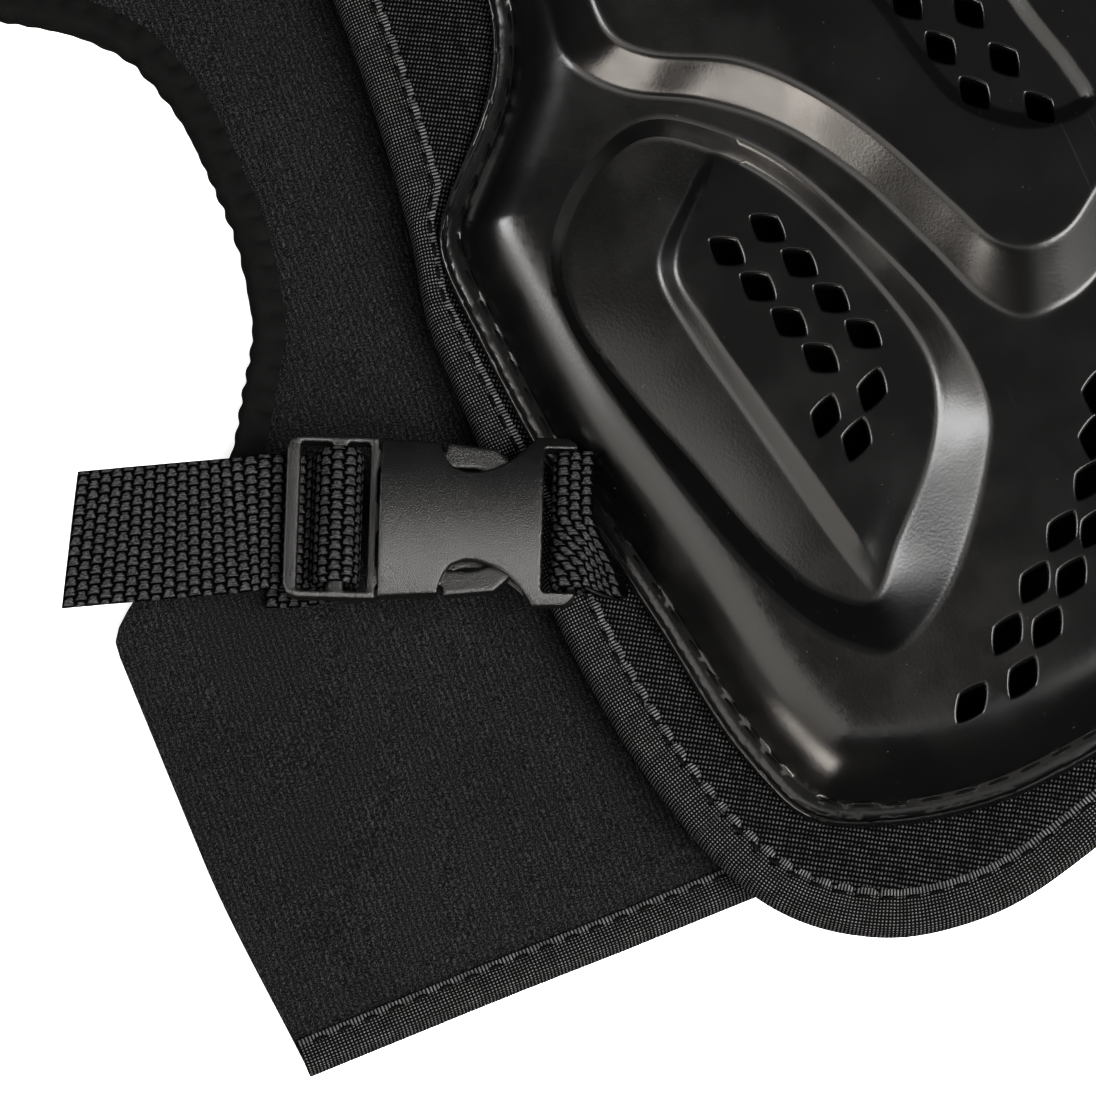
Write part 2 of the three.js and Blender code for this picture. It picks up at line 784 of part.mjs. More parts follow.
// Path of the shoulder band at one place across it, from under the front panel round to the back panel
function shoulderPath(x) {
  const under = FRONT_HALF_THICK + TAPE_GAP + TAPE_CLOTH + SHOULDER_HALF_THICK + 0.7;
  const high = frontHeight(x, SHOULDER_Y + 18) - under;
  const low = 2 * BACK_HALF_THICK + SHOULDER_HALF_THICK + 1;
  const points = [
    { y: SHOULDER_Y - 16, z: high },
    { y: SHOULDER_Y, z: high },
    { y: SHOULDER_Y + 18, z: high },
    { y: SHOULDER_Y + 27, z: (high + low) / 2 },
    { y: SHOULDER_Y + 18, z: low },
    { y: SHOULDER_Y, z: low },
    { y: SHOULDER_Y - 16, z: low },
  ];
  return new THREE.CatmullRomCurve3(
    points.map((p) => new THREE.Vector3(x, p.y, p.z)),
    false,
    "centripetal",
  );
}

// Padded band over one shoulder
function shoulderStrap(hand) {
  const stops = Array.from({ length: 15 }, (_, i) => i / 14);
  const shape = cellSheet([57, 71, 85], stops, (x, t, over) => {
    const path = shoulderPath(x);
    const spot = path.getPointAt(t);
    const way = path.getTangentAt(t);
    const lift = (over - 0.5) * 2 * SHOULDER_HALF_THICK;
    return { x: hand * x, y: spot.y - way.z * lift, z: spot.z + way.y * lift };
  });
  if (hand < 0) {
    turnFaces(shape);
  }
  return shape;
}

// Materials
const fabric = new THREE.MeshStandardMaterial({ color: 0x17171a, roughness: 0.95 });
const lining = new THREE.MeshStandardMaterial({ color: 0x141416, roughness: 1 });
const tape = new THREE.MeshStandardMaterial({ color: 0x1b1b1e, roughness: 0.8 });
const web = new THREE.MeshStandardMaterial({ color: 0x1a1a1c, roughness: 0.85 });
const plateBlack = new THREE.MeshStandardMaterial({ color: 0x0d0d0e, roughness: 0.35 });
const buckleBlack = new THREE.MeshStandardMaterial({ color: 0x121213, roughness: 0.5 });

const vest = new THREE.Group();
vest.name = "motocross_body_armor";

// Adds one named piece to the vest
function addPiece(name, shape, material) {
  const mesh = new THREE.Mesh(shape.translate(0, -MIDDLE_Y, 0), material);
  mesh.name = name;
  vest.add(mesh);
}

const frontAcross = acrossSteps(16, 0.5);
const frontAlong = acrossSteps(12, 0.2).map((t) => (t + 1) / 2);
const backAcross = acrossSteps(12, 0);
const backAlong = acrossSteps(20, 0).map((t) => (t + 1) / 2);

const frontShape = cellSheet(frontAcross, frontAlong, (u, v, over) => {
  const p = frontPlace(u, v);
  return { x: p.x, y: p.y, z: frontHeight(p.x, p.y) + (2 * over - 1) * FRONT_HALF_THICK };
});
const frontEdge = panelEdge(frontAcross, frontAlong, frontPlace);
addPiece("front_panel", frontShape, fabric);
addPiece("front_binding", edgeTape(frontEdge, true, frontHeight, FRONT_TAPE_IN, FRONT_HALF_THICK), tape);
addPiece("front_plate", chestPlate(), plateBlack);

const backShape = cellSheet(backAcross, backAlong, (u, v, over) => {
  const p = backPlace(u, v);
  return { x: p.x, y: p.y, z: backHeight(p.x, p.y) + (2 * over - 1) * BACK_HALF_THICK };
});
const hemEdge = backAcross.map((u) => backPlace(u, 0));
addPiece("back_panel", backShape, lining);
addPiece("back_hem_tape", edgeTape(hemEdge, false, backHeight, BACK_TAPE_IN, BACK_HALF_THICK), tape);

[
  { hand: -1, name: "right" },
  { hand: 1, name: "left" },
].forEach(({ hand, name }) => {
  const rows = backAlong.slice(7, 18).map((v) => backPlace(hand, v));
  const armhole = hand > 0 ? rows : rows.reverse();
  addPiece("armhole_tape_" + name, edgeTape(armhole, false, backHeight, BACK_TAPE_IN, BACK_HALF_THICK), tape);
  const strap = webbing(STRAP_PATH, WEB_WIDTH, 50, 1, tailBend);
  addPiece("side_strap_" + name, intoBuckle(strap, hand), web);
  addPiece("buckle_plug_" + name, bucklePlug(hand), buckleBlack);
  addPiece("buckle_socket_" + name, buckleSocket(hand), buckleBlack);
  addPiece("buckle_tab_" + name, intoBuckle(webbing(TAB_PATH, WEB_WIDTH, 16, 3, tabFall), hand), web);
  addPiece("shoulder_strap_" + name, shoulderStrap(hand), fabric);
});

export default vest;
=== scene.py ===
# Motocross body armor, dressed: moulded chest plate, padded panels, bound edges, webbing and buckles
import bmesh
import bpy
import numpy as np
from mathutils import Matrix, Vector
from mathutils.geometry import delaunay_2d_cdt


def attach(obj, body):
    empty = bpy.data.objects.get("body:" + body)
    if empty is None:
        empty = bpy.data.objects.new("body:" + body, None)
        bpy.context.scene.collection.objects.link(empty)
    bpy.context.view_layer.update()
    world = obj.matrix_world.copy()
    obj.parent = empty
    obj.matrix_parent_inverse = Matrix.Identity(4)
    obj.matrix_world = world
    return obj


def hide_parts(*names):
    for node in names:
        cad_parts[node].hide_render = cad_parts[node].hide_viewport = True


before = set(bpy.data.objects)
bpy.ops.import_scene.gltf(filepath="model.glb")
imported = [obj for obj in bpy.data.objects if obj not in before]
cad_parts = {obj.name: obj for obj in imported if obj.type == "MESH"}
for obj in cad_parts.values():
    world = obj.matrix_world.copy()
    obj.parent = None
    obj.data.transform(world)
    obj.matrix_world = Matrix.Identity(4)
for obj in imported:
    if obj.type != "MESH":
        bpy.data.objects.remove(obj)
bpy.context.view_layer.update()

# Sizes in millimetres. Shapes are drawn with y from the chest and moved into the frame by MIDDLE_Y.
MIDDLE_Y = 66.75
FRONT_CREST = 48
FRONT_SAG = 34
FRONT_ROUND = 0.35
FRONT_HALF_WIDTH = 126
FRONT_DROOP = 4
FRONT_LEVEL_Y = 20
DROOP_LENGTH_DOWN = 110
DROOP_LENGTH_UP = 160
FRONT_HALF_THICK = 2
BACK_HALF_THICK = 2.5
WING_LIFT = 3
WING_START = 110
WING_EASE = 60
HEM_LIFT = 1.4
HEM_EASE = 30
BACK_HEM_Y = -68

# Sizes of the padding: half thickness at the edges, fill above and below, and the seam ridge of the back
FRONT_EDGE_HALF = 1.2
FRONT_FILL_UP = 0.75
FRONT_FILL_DOWN = 0.8
FRONT_SWELL = 0.7
SWELL_WIDTH = 3
BACK_EDGE_HALF = 1.3
BACK_FILL_DOWN = 1.2
RIDGE_X = 141
RIDGE_LEAN = 0.05
RIDGE_RISE = 0.9
RIDGE_WIDTH = 3
RIDGE_MIDDLE_Y = 60
RIDGE_LOW_Y = -5
RIDGE_HIGH_Y = 150

# Sizes of the tapes
TAPE_OUT = 1.7
TAPE_CLOTH = 1.2
BINDING_WIDEST = 6
BINDING_NARROWEST = 2.8
BINDING_CLEAR = 1.2
BINDING_PITCH = 4.4
HEM_TAPE_WIDTH = 4.5
HEM_PITCH = 4.8
HEM_POINTS = 480
ARMHOLE_TAPE_WIDTH = 4.5
ARMHOLE_PITCH = 4.6
ARMHOLE_LOW = 0.35
ARMHOLE_HIGH = 0.85
ARMHOLE_POINTS = 330
ARMHOLE_LUMP = 0.16
TURN_POINTS = 11
FLAT_POINTS = 6
TAPE_TUCK = 0.45
LINING_RISE = 0.25
LINING_OUT = 0.3
STITCH_PLACE = 0.72
STITCH_SHARE = 0.62
SEAM_WIDTH = 0.3
SEAM_DEPTH = 0.2
PINCH_DEPTH = 0.8
THREAD_SIDES = 6
RIB_PITCH = 0.66
CROSS_PITCH = 0.6
RIB_STRIP = 1.3

# Sizes of the plate
PLATE_GAP = 2.5
PLATE_THICK = 2
FLANGE = 3.9
WALL_SLOPE = 1.5
WALL_WIDTH = 2
ROUND_WIDTH = 12
CHEST_RISE = 6
POD_DEPTH = 4.5
POD_TOP_Y = 55
POD_SHALLOW = 0.2
FLOOR_RISE = 0.8
FLOOR_BOW = 1.2
FLOOR_EASE = 30
ISLAND_LOW_Y = -35
ISLAND_HIGH_Y = 54
ISLAND_RISE = 1.7
ISLAND_LOW_X = 54
ISLAND_HIGH_X = 84
ISLAND_MERGE = 7
RECESS_DEPTH = 1.6
RECESS_WALL = 3
RECESS_BEVEL = 0.2
BEAD_WIDTH = 0.9
BEAD_RISE = 0.45
GROOVE_DEPTH = 0.25
GROOVE_GAP = 0.35
GROOVE_WIDTH = 0.3
FORM_BEVEL = 0.08
HOLE_LONG = 3.7
HOLE_SHORT = 2.35
HOLE_FLARE = 0.5
HOLE_DROP = 0.4
HOLE_POINTS = 28
HOLE_BULGE = 1.25
FOAM_INSET = 5
PLATE_STITCH_PITCH = 6.2
PLATE_STITCH_INSET = 3.3

# Mesh of the plate: rows beside each relief line, rings within the edge, and an even field clear of both
LINE_ROWS = (-1.1, -0.55, 0, 0.55, 1.1)
RECESS_ROWS = (-0.6, 0, 0.6, 1.5, 2.4, 3, 3.6)
EDGE_RINGS = (
    0.15, 0.3, 0.45, 0.6, 0.75, 0.9, 1.1, 1.3, 1.5, 1.7, 2.6, 3.6, 3.9, 4.3, 5.2, 6.2, 7.2, 7.9, 8.6, 9.4,
    10.4, 11.6, 13, 15, 17,
)
POD_MARGIN = 1.5
FIELD_STEP = 2.1
FIELD_CLEAR = 1.9
FIELD_INSET = 13
HALF_START = 0.4
MIDDLE_POINTS = 130
FIELD_ROW = 0.87
FIELD_COLUMNS = 62
FIELD_LOW = -42
FIELD_HIGH = 105
HOLE_CLEAR = 0.3
EDGE_CLEAR = 0.1
MIDDLE_CLEAR = 0.5
SAME_POINT = 0.35
ON_MIDDLE = 1e-6

# Angles in degrees above which an edge stays sharp, by what it is made of
PLATE_SHARP = 38
CLOTH_SHARP = 70
THREAD_SHARP = 60

# Scale of a wave texture whose bands are one unit apart
BAND_SCALE = 0.314

# Sizes of the straps and buckles
WEB_WIDTH = 25
WEB_THICK = 1.5
CELL_LONG = 2.1
CELL_WIDE = WEB_WIDTH / 13.5
CELL_RISE = 0.22
WEB_STEP = 0.4
WEB_POINTS = 76
WEB_LIP = 1.2
WEB_EDGE_HALF = 0.18
WEB_SINK = 0.38
SOCKET_HALF = 4.8
SOCKET_CROWN = 34
CROWN_NEAR = 0.04
CROWN_FADE = 0.2
MOULD_CELL = 0.35
MOULD_ROUNDS = 4
BUCKLE_X = 157.5
BUCKLE_Y = 18
BUCKLE_Z = 25.5
BUCKLE_TURN = np.radians(24)
TAIL_BEND = np.radians(7)
TAIL_BEND_START = 10
TAIL_BEND_EASE = 8
TAIL_END = 48
CUT_SLANT = 2.4
TAB_FALL = 7.4
TAB_REACH = 5
TAB_TURN = -44
TAB_FOLD = 1.2
TAB_CORNER = 2
TAB_CORNER_EASE = 14.5
SHOULDER_HALF_THICK = 1.8
SHOULDER_Y = 196
SHOULDER_IN = 57
SHOULDER_OUT = 85
SHOULDER_ACROSS = 30
SHOULDER_ALONG = 90
SHOULDER_EDGE_HALF = 0.6
SHOULDER_GAP = 0.7
SHOULDER_STOPS = (-16, 0, 18, 27, 18, 0, -16)

# Sides of the vest as worn: sign of x and name
HANDS = ((-1, "right"), (1, "left"))


def table(names, *rows):
    """Rows of a table as dictionaries, its columns named in one string."""
    return [dict(zip(names.split(), row)) for row in rows]


# Outlines, one row for each place along the edge
FRONT_SIDE = table(
    "y x",
    (-58, 119), (-34, 124), (-10, 126), (46, 126.4), (66, 122.6), (100, 119),
    (150, 117), (190, 110),
)
FRONT_HEM = table(
    "x y",
    (0, -76), (30, -80), (58, -88), (76, -91), (90, -89), (102, -83),
    (112, -73), (119, -58),
)
FRONT_TOP = table(
    "x y",
    (0, 160), (30, 165), (52, 188), (66, 204), (84, 208), (100, 203),
    (110, 190),
)
PLATE_SIDE = table(
    "y x",
    (-60.5, 104), (-43, 109), (-22, 112), (-3, 115.3), (17, 119.3), (45, 121.2),
    (54, 121.6), (59, 121.3), (63, 120), (67, 116.8), (75, 108.8), (82, 102.4),
    (88, 98.8), (98, 95.5), (150, 92), (178, 86),
)
PLATE_HEM = table(
    "x y",
    (0, -71), (30, -74), (54, -76), (66, -76.4), (80, -74.2), (92, -70),
    (100, -65.6), (104, -60.5),
)
PLATE_TOP = table(
    "x y",
    (0, 143), (30, 149), (50, 172), (60, 184), (70, 188), (80, 186),
    (86, 178),
)
BACK_SIDE = table(
    "y x",
    (-68, 199), (-25, 202), (16, 202), (26, 192), (39, 170), (50, 162.5),
    (65, 154.5), (85, 151.5), (102, 152), (119, 156), (129, 163.5), (138, 176),
    (147, 192), (160, 203), (185, 202), (206, 192),
)
BACK_TOP = table(
    "x y",
    (0, 196), (34, 200), (60, 216), (90, 226), (130, 226), (170, 219),
    (192, 206),
)

# Relief of the plate on one half: smooth closed lines through these points
CHEST_FOOT = table(
    "x y",
    (87, 90), (88, 78), (82, 68.5), (70.5, 60), (60, 49), (51.5, 34),
    (45, 16), (40.5, 3), (35.5, -3), (27.5, -3.5), (20, -0.5), (0, 13),
    (-60, 40), (-60, 170), (60, 175), (82, 150),
)
CHEST_CREST = table(
    "x y",
    (81, 88), (80.5, 76), (76, 70), (63, 61), (54, 50), (46.5, 36),
    (40, 19.5), (36, 10), (32, 7), (24.5, 6.5), (17, 11), (0, 24),
    (-50, 60), (-50, 160), (52, 165), (75, 145),
)
POD_RIM = table(
    "x y",
    (78.5, 60.5), (85, 61.5), (97, 56), (104.5, 47), (106.5, 35), (104, 17),
    (96.5, -15.5), (90.5, -32), (85.5, -40), (78.5, -45.5), (66.5, -40.5), (51.5, -23),
    (47.5, -14.5), (48, 2.5), (55, 25), (62, 42), (70, 53),
)
POD_FLOOR = table(
    "x y",
    (79, 58.5), (84.5, 59.5), (95.5, 54.5), (102.5, 46.5), (104.5, 35), (100.5, 16),
    (96, 1.5), (91.5, -15), (87, -26.5), (83, -32), (77.5, -35.5), (70, -28),
    (59.5, -17.5), (54, -8), (52.5, 0.5), (57.5, 23.5), (64, 40.5), (71, 51),
)
ISLAND_FOOT = table(
    "x y",
    (68, 54.5), (79.5, 45.5), (87, 38.5), (88.5, 34.5), (87.5, 22.5), (85, 8.5),
    (80.5, -17), (77.5, -31), (75.5, -40), (40, -42), (40, 60),
)
ISLAND_TOP = table(
    "x y",
    (66, 54), (76.5, 45), (84, 37.5), (86, 32.5), (84.5, 21), (81.5, 5.5),
    (77, -18), (74.5, -31), (73, -39), (44, -38), (44, 58),
)
RECESS_RIM = table(
    "x y",
    (42, 72), (38.5, 60), (36, 47), (33, 36.5), (27.5, 29.5), (21.5, 25.5),
    (14, 24.5), (10, 26), (10.5, 34), (13.5, 47.5), (20, 100), (34, 112),
    (45, 100),
)

# Rows of diamond holes on one half: first hole, step to the next, how many, lean of the long way off +y
HOLE_ROWS = table(
    "x y step_x step_y count lean",
    (68.5, 33.5, -2.5, -8.4, 4, 28),
    (76.5, 33, -2.4, -8.4, 4, 28),
    (63.5, -1.5, 0, 0, 1, -40),
    (72.5, -2, -3.2, -6.3, 2, -40),
    (70, -60, 0, 0, 1, -60),
    (60, -52, -7.6, 6, 4, -54),
    (60.5, -60, -7, 6, 6, -54),
    (33.5, -27.5, -3.6, 7, 2, -30),
    (28.5, 36.5, 2, 10.2, 6, 15),
    (19.5, 29, 2, 10.8, 6, 15),
)

# Paths of the webbing beside the buckle: along it outward, and over its middle
STRAP_PATH = table(
    "along over",
    (13, -16), (7, -14.8), (1.5, -10.4), (-2.6, -4.6), (-3.4, -0.6), (-1.8, 2.9),
    (1.8, 2.9), (3.6, 0.2), (5, -2.9), (8.2, -3.4), (14, -2.8), (30, -2.2),
    (TAIL_END, -2),
)
TAB_PATH = table(
    "along over",
    (-45.2, 3.4), (-44.2, 3.2), (-42.5, 3), (-39.7, 2.4), (-38.5, 0), (-39.7, -2.2),
    (-42.2, -2.5), (-43.9, -1.1), (-44.6, 1.2),
)


def column(rows, name):
    """One named column of a table as an array."""
    return np.array([row[name] for row in rows], float)


def table_value(rows, at, key, value):
    """Smooth value between rows: cubic pieces, each slope the harmonic mean of the chords beside it."""
    place = column(rows, key)
    level = column(rows, value)
    chord = np.diff(level) / np.diff(place)
    before = chord[:-1]
    after = chord[1:]
    same = before * after > 0
    middle = np.where(same, 2 * before * after / np.where(same, before + after, 1), 0)
    slope = np.concatenate([chord[:1], middle, chord[-1:]])
    spot = np.clip(at, place[0], place[-1])
    i = np.clip(np.searchsorted(place, spot) - 1, 0, len(rows) - 2)
    width = place[i + 1] - place[i]
    t = (spot - place[i]) / width
    ends = level[i] * (1 + 2 * t) * (1 - t) ** 2 + level[i + 1] * t * t * (3 - 2 * t)
    return ends + width * t * (1 - t) * (slope[i] * (1 - t) - slope[i + 1] * t)


def ease(t):
    """Smooth step from 0 to 1."""
    k = np.clip(t, 0, 1)
    return k * k * (3 - 2 * k)


def bevel(t, soft):
    """Straight ramp from 0 to 1 whose two corners are rounded over the given share on both sides."""
    low = np.clip(t + soft, 0, 2 * soft) ** 2 / (4 * soft) + np.clip(t - soft, 0, None)
    high = np.clip(t - 1 + soft, 0, 2 * soft) ** 2 / (4 * soft) + np.clip(t - 1 - soft, 0, None)
    return low - high


def front_height(x, y):
    """Middle of the arched front panel: crest less a sag, part parabola and part cosine, less a droop."""
    reach = np.where(y > FRONT_LEVEL_Y, DROOP_LENGTH_UP, DROOP_LENGTH_DOWN)
    droop = FRONT_DROOP * ((y - FRONT_LEVEL_Y) / reach) ** 2
    q = x / FRONT_HALF_WIDTH
    bow = FRONT_ROUND * q * q + (1 - FRONT_ROUND) * (0.5 - 0.5 * np.cos(np.pi * q))
    return FRONT_CREST - FRONT_SAG * bow - droop


def back_height(x, y):
    """Middle of the back panel: flat, with the wings and the hem eased up a little."""
    wing = WING_LIFT * ease((np.abs(x) - WING_START) / WING_EASE)
    hem = HEM_LIFT * (1 - ease((y - BACK_HEM_Y) / HEM_EASE))
    return BACK_HALF_THICK + np.maximum(wing, hem)


def panel_place(side, hem, top, u, v):
    """Point of a panel: x is u of the half width at that height, y goes from hem to top line with v."""
    edge_y = side[0]["y"] + (side[-1]["y"] - side[0]["y"]) * v
    low = hem(np.abs(u) * side[0]["x"])
    high = top(np.abs(u) * side[-1]["x"])
    return u * table_value(side, edge_y, "y", "x"), low + (high - low) * v


def edge_line(rows):
    """Level of an edge as a function of x."""
    return lambda x: table_value(rows, x, "x", "y")


def front_place(u, v):
    """Point of the front panel."""
    return panel_place(FRONT_SIDE, edge_line(FRONT_HEM), edge_line(FRONT_TOP), u, v)


def plate_place(u, v):
    """Point of the plate's outline panel."""
    return panel_place(PLATE_SIDE, edge_line(PLATE_HEM), edge_line(PLATE_TOP), u, v)


def back_place(u, v):
    """Point of the back panel."""
    return panel_place(BACK_SIDE, lambda x: np.full_like(x, BACK_HEM_Y), edge_line(BACK_TOP), u, v)


def outline(place, count):
    """Edge of a panel once round, counter-clockwise from the left end of the hem, as points."""
    t = np.arange(count) / count
    u = np.concatenate([2 * t - 1, np.ones(count), 1 - 2 * t, -np.ones(count)])
    v = np.concatenate([np.zeros(count), t, np.ones(count), 1 - t])
    return np.stack(place(u, v), axis=-1)


def run_length(line):
    """Length along a line at each of its points."""
    return np.concatenate([[0], np.cumsum(np.linalg.norm(np.diff(line, axis=0), axis=1))])


def unit(way):
    """Directions of length 1."""
    return way / np.linalg.norm(way, axis=-1)[..., None]


def even_line(points, pitch, closed):
    """The same line with evenly spaced points, found along its length."""
    line = np.concatenate([points, points[:1]]) if closed else points
    length = run_length(line)
    count = max(2, int(round(length[-1] / pitch)))
    stops = np.linspace(0, length[-1], count + 1)
    if closed:
        stops = stops[:-1]
    return np.stack([np.interp(stops, length, line[:, k]) for k in range(line.shape[1])], axis=-1)


def soft_line(points, reach):
    """A closed line with each point moved to the mean of its neighbours within reach, twice."""
    for _ in range(2):
        shifted = [np.roll(points, k, axis=0) for k in range(-reach, reach + 1)]
        points = np.mean(shifted, axis=0)
    return points


def smooth_outline(place, count, pitch, reach):
    """Edge of a panel with its corners rounded."""
    return soft_line(even_line(outline(place, count), pitch, True), reach)


def outward(points, closed):
    """Unit direction square to a counter-clockwise line, away from its inside."""
    if closed:
        way = np.roll(points, -1, axis=0) - np.roll(points, 1, axis=0)
    else:
        way = np.gradient(points, axis=0)
    way = unit(way)
    return np.stack([way[:, 1], -way[:, 0]], axis=-1)


def spline(points, closed, per):
    """Centripetal Catmull-Rom line: cubic pieces through the points, timed by the root of each chord."""
    if closed:
        p = np.concatenate([points[-1:], points, points[:2]])
    else:
        p = np.concatenate([[2 * points[0] - points[1]], points, [2 * points[-1] - points[-2]]])
    gap = np.sqrt(np.linalg.norm(np.diff(p, axis=0), axis=1))[:, None]
    a, b, c, d = p[:-3], p[1:-2], p[2:-1], p[3:]
    g0, g1, g2 = gap[:-2], gap[1:-1], gap[2:]
    start = g1 * ((b - a) / g0 - (c - a) / (g0 + g1) + (c - b) / g1)
    end = g1 * ((c - b) / g1 - (d - b) / (g1 + g2) + (d - c) / g2)
    t = (np.arange(per) / per)[None, :, None]
    h = b[:, None] * (1 + 2 * t) * (1 - t) ** 2 + c[:, None] * t * t * (3 - 2 * t)
    h = h + start[:, None] * t * (1 - t) ** 2 + end[:, None] * t * t * (t - 1)
    line = h.reshape(-1, points.shape[1])
    return line if closed else np.concatenate([line, points[-1:]])


def closed_line(rows):
    """Smooth closed line through the rows of a table, counter-clockwise, a point each millimetre."""
    points = np.stack([column(rows, "x"), column(rows, "y")], axis=-1)
    line = even_line(spline(points, True, 12), 1, True)
    after = np.roll(line, -1, axis=0)
    turning = np.sum(line[:, 0] * after[:, 1] - after[:, 0] * line[:, 1])
    return line if turning > 0 else line[::-1]


def depth_inside(line, x, y):
    """Distance to a closed line, positive inside: the least to its pieces, signed by crossings of a ray."""
    near = np.full(x.shape, np.inf)
    inside = np.zeros(x.shape, bool)
    for (ax, ay), (bx, by) in zip(np.roll(line, 1, axis=0), line):
        dx = bx - ax
        dy = by - ay
        t = np.clip(((x - ax) * dx + (y - ay) * dy) / (dx * dx + dy * dy), 0, 1)
        near = np.minimum(near, (x - ax - t * dx) ** 2 + (y - ay - t * dy) ** 2)
        if dy:
            inside ^= ((ay > y) != (by > y)) & (x < ax + (y - ay) / dy * dx)
    return np.where(inside, 1, -1) * np.sqrt(near)


def depth_of(line, points):
    """Distance of points to a closed line, positive inside."""
    return depth_inside(line, points[:, 0], points[:, 1])


def wall_share(outer, inner, x, y):
    """Share of the way from an outer line to the inner line within it, below 0 outside and above 1 within."""
    a = depth_inside(outer, x, y)
    b = -depth_inside(inner, x, y)
    return a / np.maximum(a + b, 0.5)


plate_edge = even_line(smooth_outline(plate_place, count=400, pitch=0.5, reach=6), 1, True)
chest_foot = closed_line(CHEST_FOOT)
chest_crest = closed_line(CHEST_CREST)
pod_rim = closed_line(POD_RIM)
pod_floor = closed_line(POD_FLOOR)
island_foot = closed_line(ISLAND_FOOT)
island_top = closed_line(ISLAND_TOP)
recess_rim = closed_line(RECESS_RIM)


def plate_top(x, y):
    """Upper side of the plate: the arch, a rounded body over the flange, bevelled forms and a rim bead.

    The body rises straight and then eases off as a cubic. The pod gets shallower towards its top, and its
    floor rises towards the island between the island's ends.
    """
    side = np.abs(x)
    inset = depth_inside(plate_edge, x, y)
    wall = np.clip(inset - FLANGE, 0, WALL_WIDTH)
    t = np.clip((inset - FLANGE - WALL_WIDTH) / ROUND_WIDTH, 0, 1)
    body = WALL_SLOPE * (wall + ROUND_WIDTH / 3 * (1 - (1 - t) ** 3))
    chest = CHEST_RISE * bevel(wall_share(chest_foot, chest_crest, side, y), FORM_BEVEL)
    sunk = bevel(wall_share(pod_rim, pod_floor, side, y), FORM_BEVEL)
    pod = POD_DEPTH * (1 - POD_SHALLOW * ease(y / POD_TOP_Y)) * sunk
    in_floor = np.clip(depth_inside(pod_floor, side, y), 0, None)
    off_island = np.clip(-depth_inside(island_foot, side, y), 0, None)
    along_floor = np.where(off_island > 0, in_floor / np.maximum(in_floor + off_island, 0.01), 1)
    between = ease((y - ISLAND_LOW_Y) / FLOOR_EASE) * ease((ISLAND_HIGH_Y - y) / FLOOR_EASE)
    floor = FLOOR_RISE * between * sunk * along_floor * (1 + FLOOR_BOW - FLOOR_BOW * along_floor)
    slope = np.clip((side - ISLAND_LOW_X) / (ISLAND_HIGH_X - ISLAND_LOW_X), 0, 1)
    merging = ease(in_floor / ISLAND_MERGE)
    island = ISLAND_RISE * merging * slope * bevel(wall_share(island_foot, island_top, side, y), FORM_BEVEL)
    recess = RECESS_DEPTH * bevel(depth_inside(recess_rim, side, y) / RECESS_WALL, RECESS_BEVEL)
    bead = BEAD_RISE * np.clip(1 - ((inset - BEAD_WIDTH / 2) / (BEAD_WIDTH / 2)) ** 2, 0, None) ** 0.5
    groove = GROOVE_DEPTH * np.exp(-(((inset - BEAD_WIDTH - GROOVE_GAP) / GROOVE_WIDTH) ** 2))
    arch = front_height(x, y) + PLATE_GAP + PLATE_THICK
    return arch + body + chest - pod + floor + island - recess + bead - groove


def grid_faces(rows, columns, wrap_rows=False, wrap_columns=False):
    """Four-cornered faces of a grid of points that is counted along its columns first."""
    i = np.arange(rows if wrap_rows else rows - 1)[:, None]
    j = np.arange(columns if wrap_columns else columns - 1)[None, :]
    k = (i + 1) % rows
    m = (j + 1) % columns
    corners = [i * columns + j, k * columns + j, k * columns + m, i * columns + m]
    return np.stack([c.ravel() for c in corners], axis=-1)


def shell(top, under):
    """Closed skin of two grids of the same size: both sheets, and a strip round their edges."""
    rows, columns = top.shape[:2]
    sheet = grid_faces(rows, columns)
    count = rows * columns
    ring = np.concatenate([
        np.arange(rows) * columns,
        (rows - 1) * columns + np.arange(1, columns),
        np.arange(rows - 2, -1, -1) * columns + columns - 1,
        np.arange(columns - 2, 0, -1),
    ])
    after = np.roll(ring, -1)
    strip = np.stack([ring + count, after + count, after, ring], axis=-1)
    spots = np.concatenate([top.reshape(-1, 3), under.reshape(-1, 3)])
    return spots, [np.concatenate([sheet, sheet[:, ::-1] + count, strip])]


def add_piece(name, spots, faces, material, nodes=(), uv=None, sharp=40):
    """New object from points in millimetres, its faces, and a place on the cloth for each point."""
    mesh = bpy.data.meshes.new(name)
    placed = (spots.reshape(-1, 3) - (0, MIDDLE_Y, 0)) / 1000
    loops = np.concatenate([f.ravel() for f in faces]).astype(np.int32)
    sizes = np.concatenate([np.full(len(f), f.shape[1]) for f in faces])
    starts = np.concatenate([[0], np.cumsum(sizes)[:-1]]).astype(np.int32)
    mesh.vertices.add(len(placed))
    mesh.vertices.foreach_set("co", placed.astype(np.float32).ravel())
    mesh.loops.add(len(loops))
    mesh.loops.foreach_set("vertex_index", loops)
    mesh.polygons.add(len(starts))
    mesh.polygons.foreach_set("loop_start", starts)
    mesh.update(calc_edges=True)
    if uv is not None:
        layer = mesh.uv_layers.new(name="cloth")
        layer.uv.foreach_set("vector", uv.reshape(-1, 2)[loops].astype(np.float32).ravel())
    work = bmesh.new()
    work.from_mesh(mesh)
    bmesh.ops.recalc_face_normals(work, faces=work.faces)
    work.to_mesh(mesh)
    work.free()
    mesh.shade_smooth()
    mesh.set_sharp_from_angle(angle=np.radians(sharp))
    mesh.materials.append(material)
    piece = bpy.data.objects.new(name, mesh)
    bpy.context.scene.collection.objects.link(piece)
    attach(piece, "root")
    if nodes:
        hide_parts(*nodes)
    return piece


def srgb(code):
    """Linear colour of an sRGB hex value such as 1a1b1c."""
    part = np.array([int(code[i:i + 2], 16) for i in (0, 2, 4)]) / 255
    linear = np.where(part <= 0.04045, part / 12.92, ((part + 0.055) / 1.055) ** 2.4)
    return (*linear, 1)


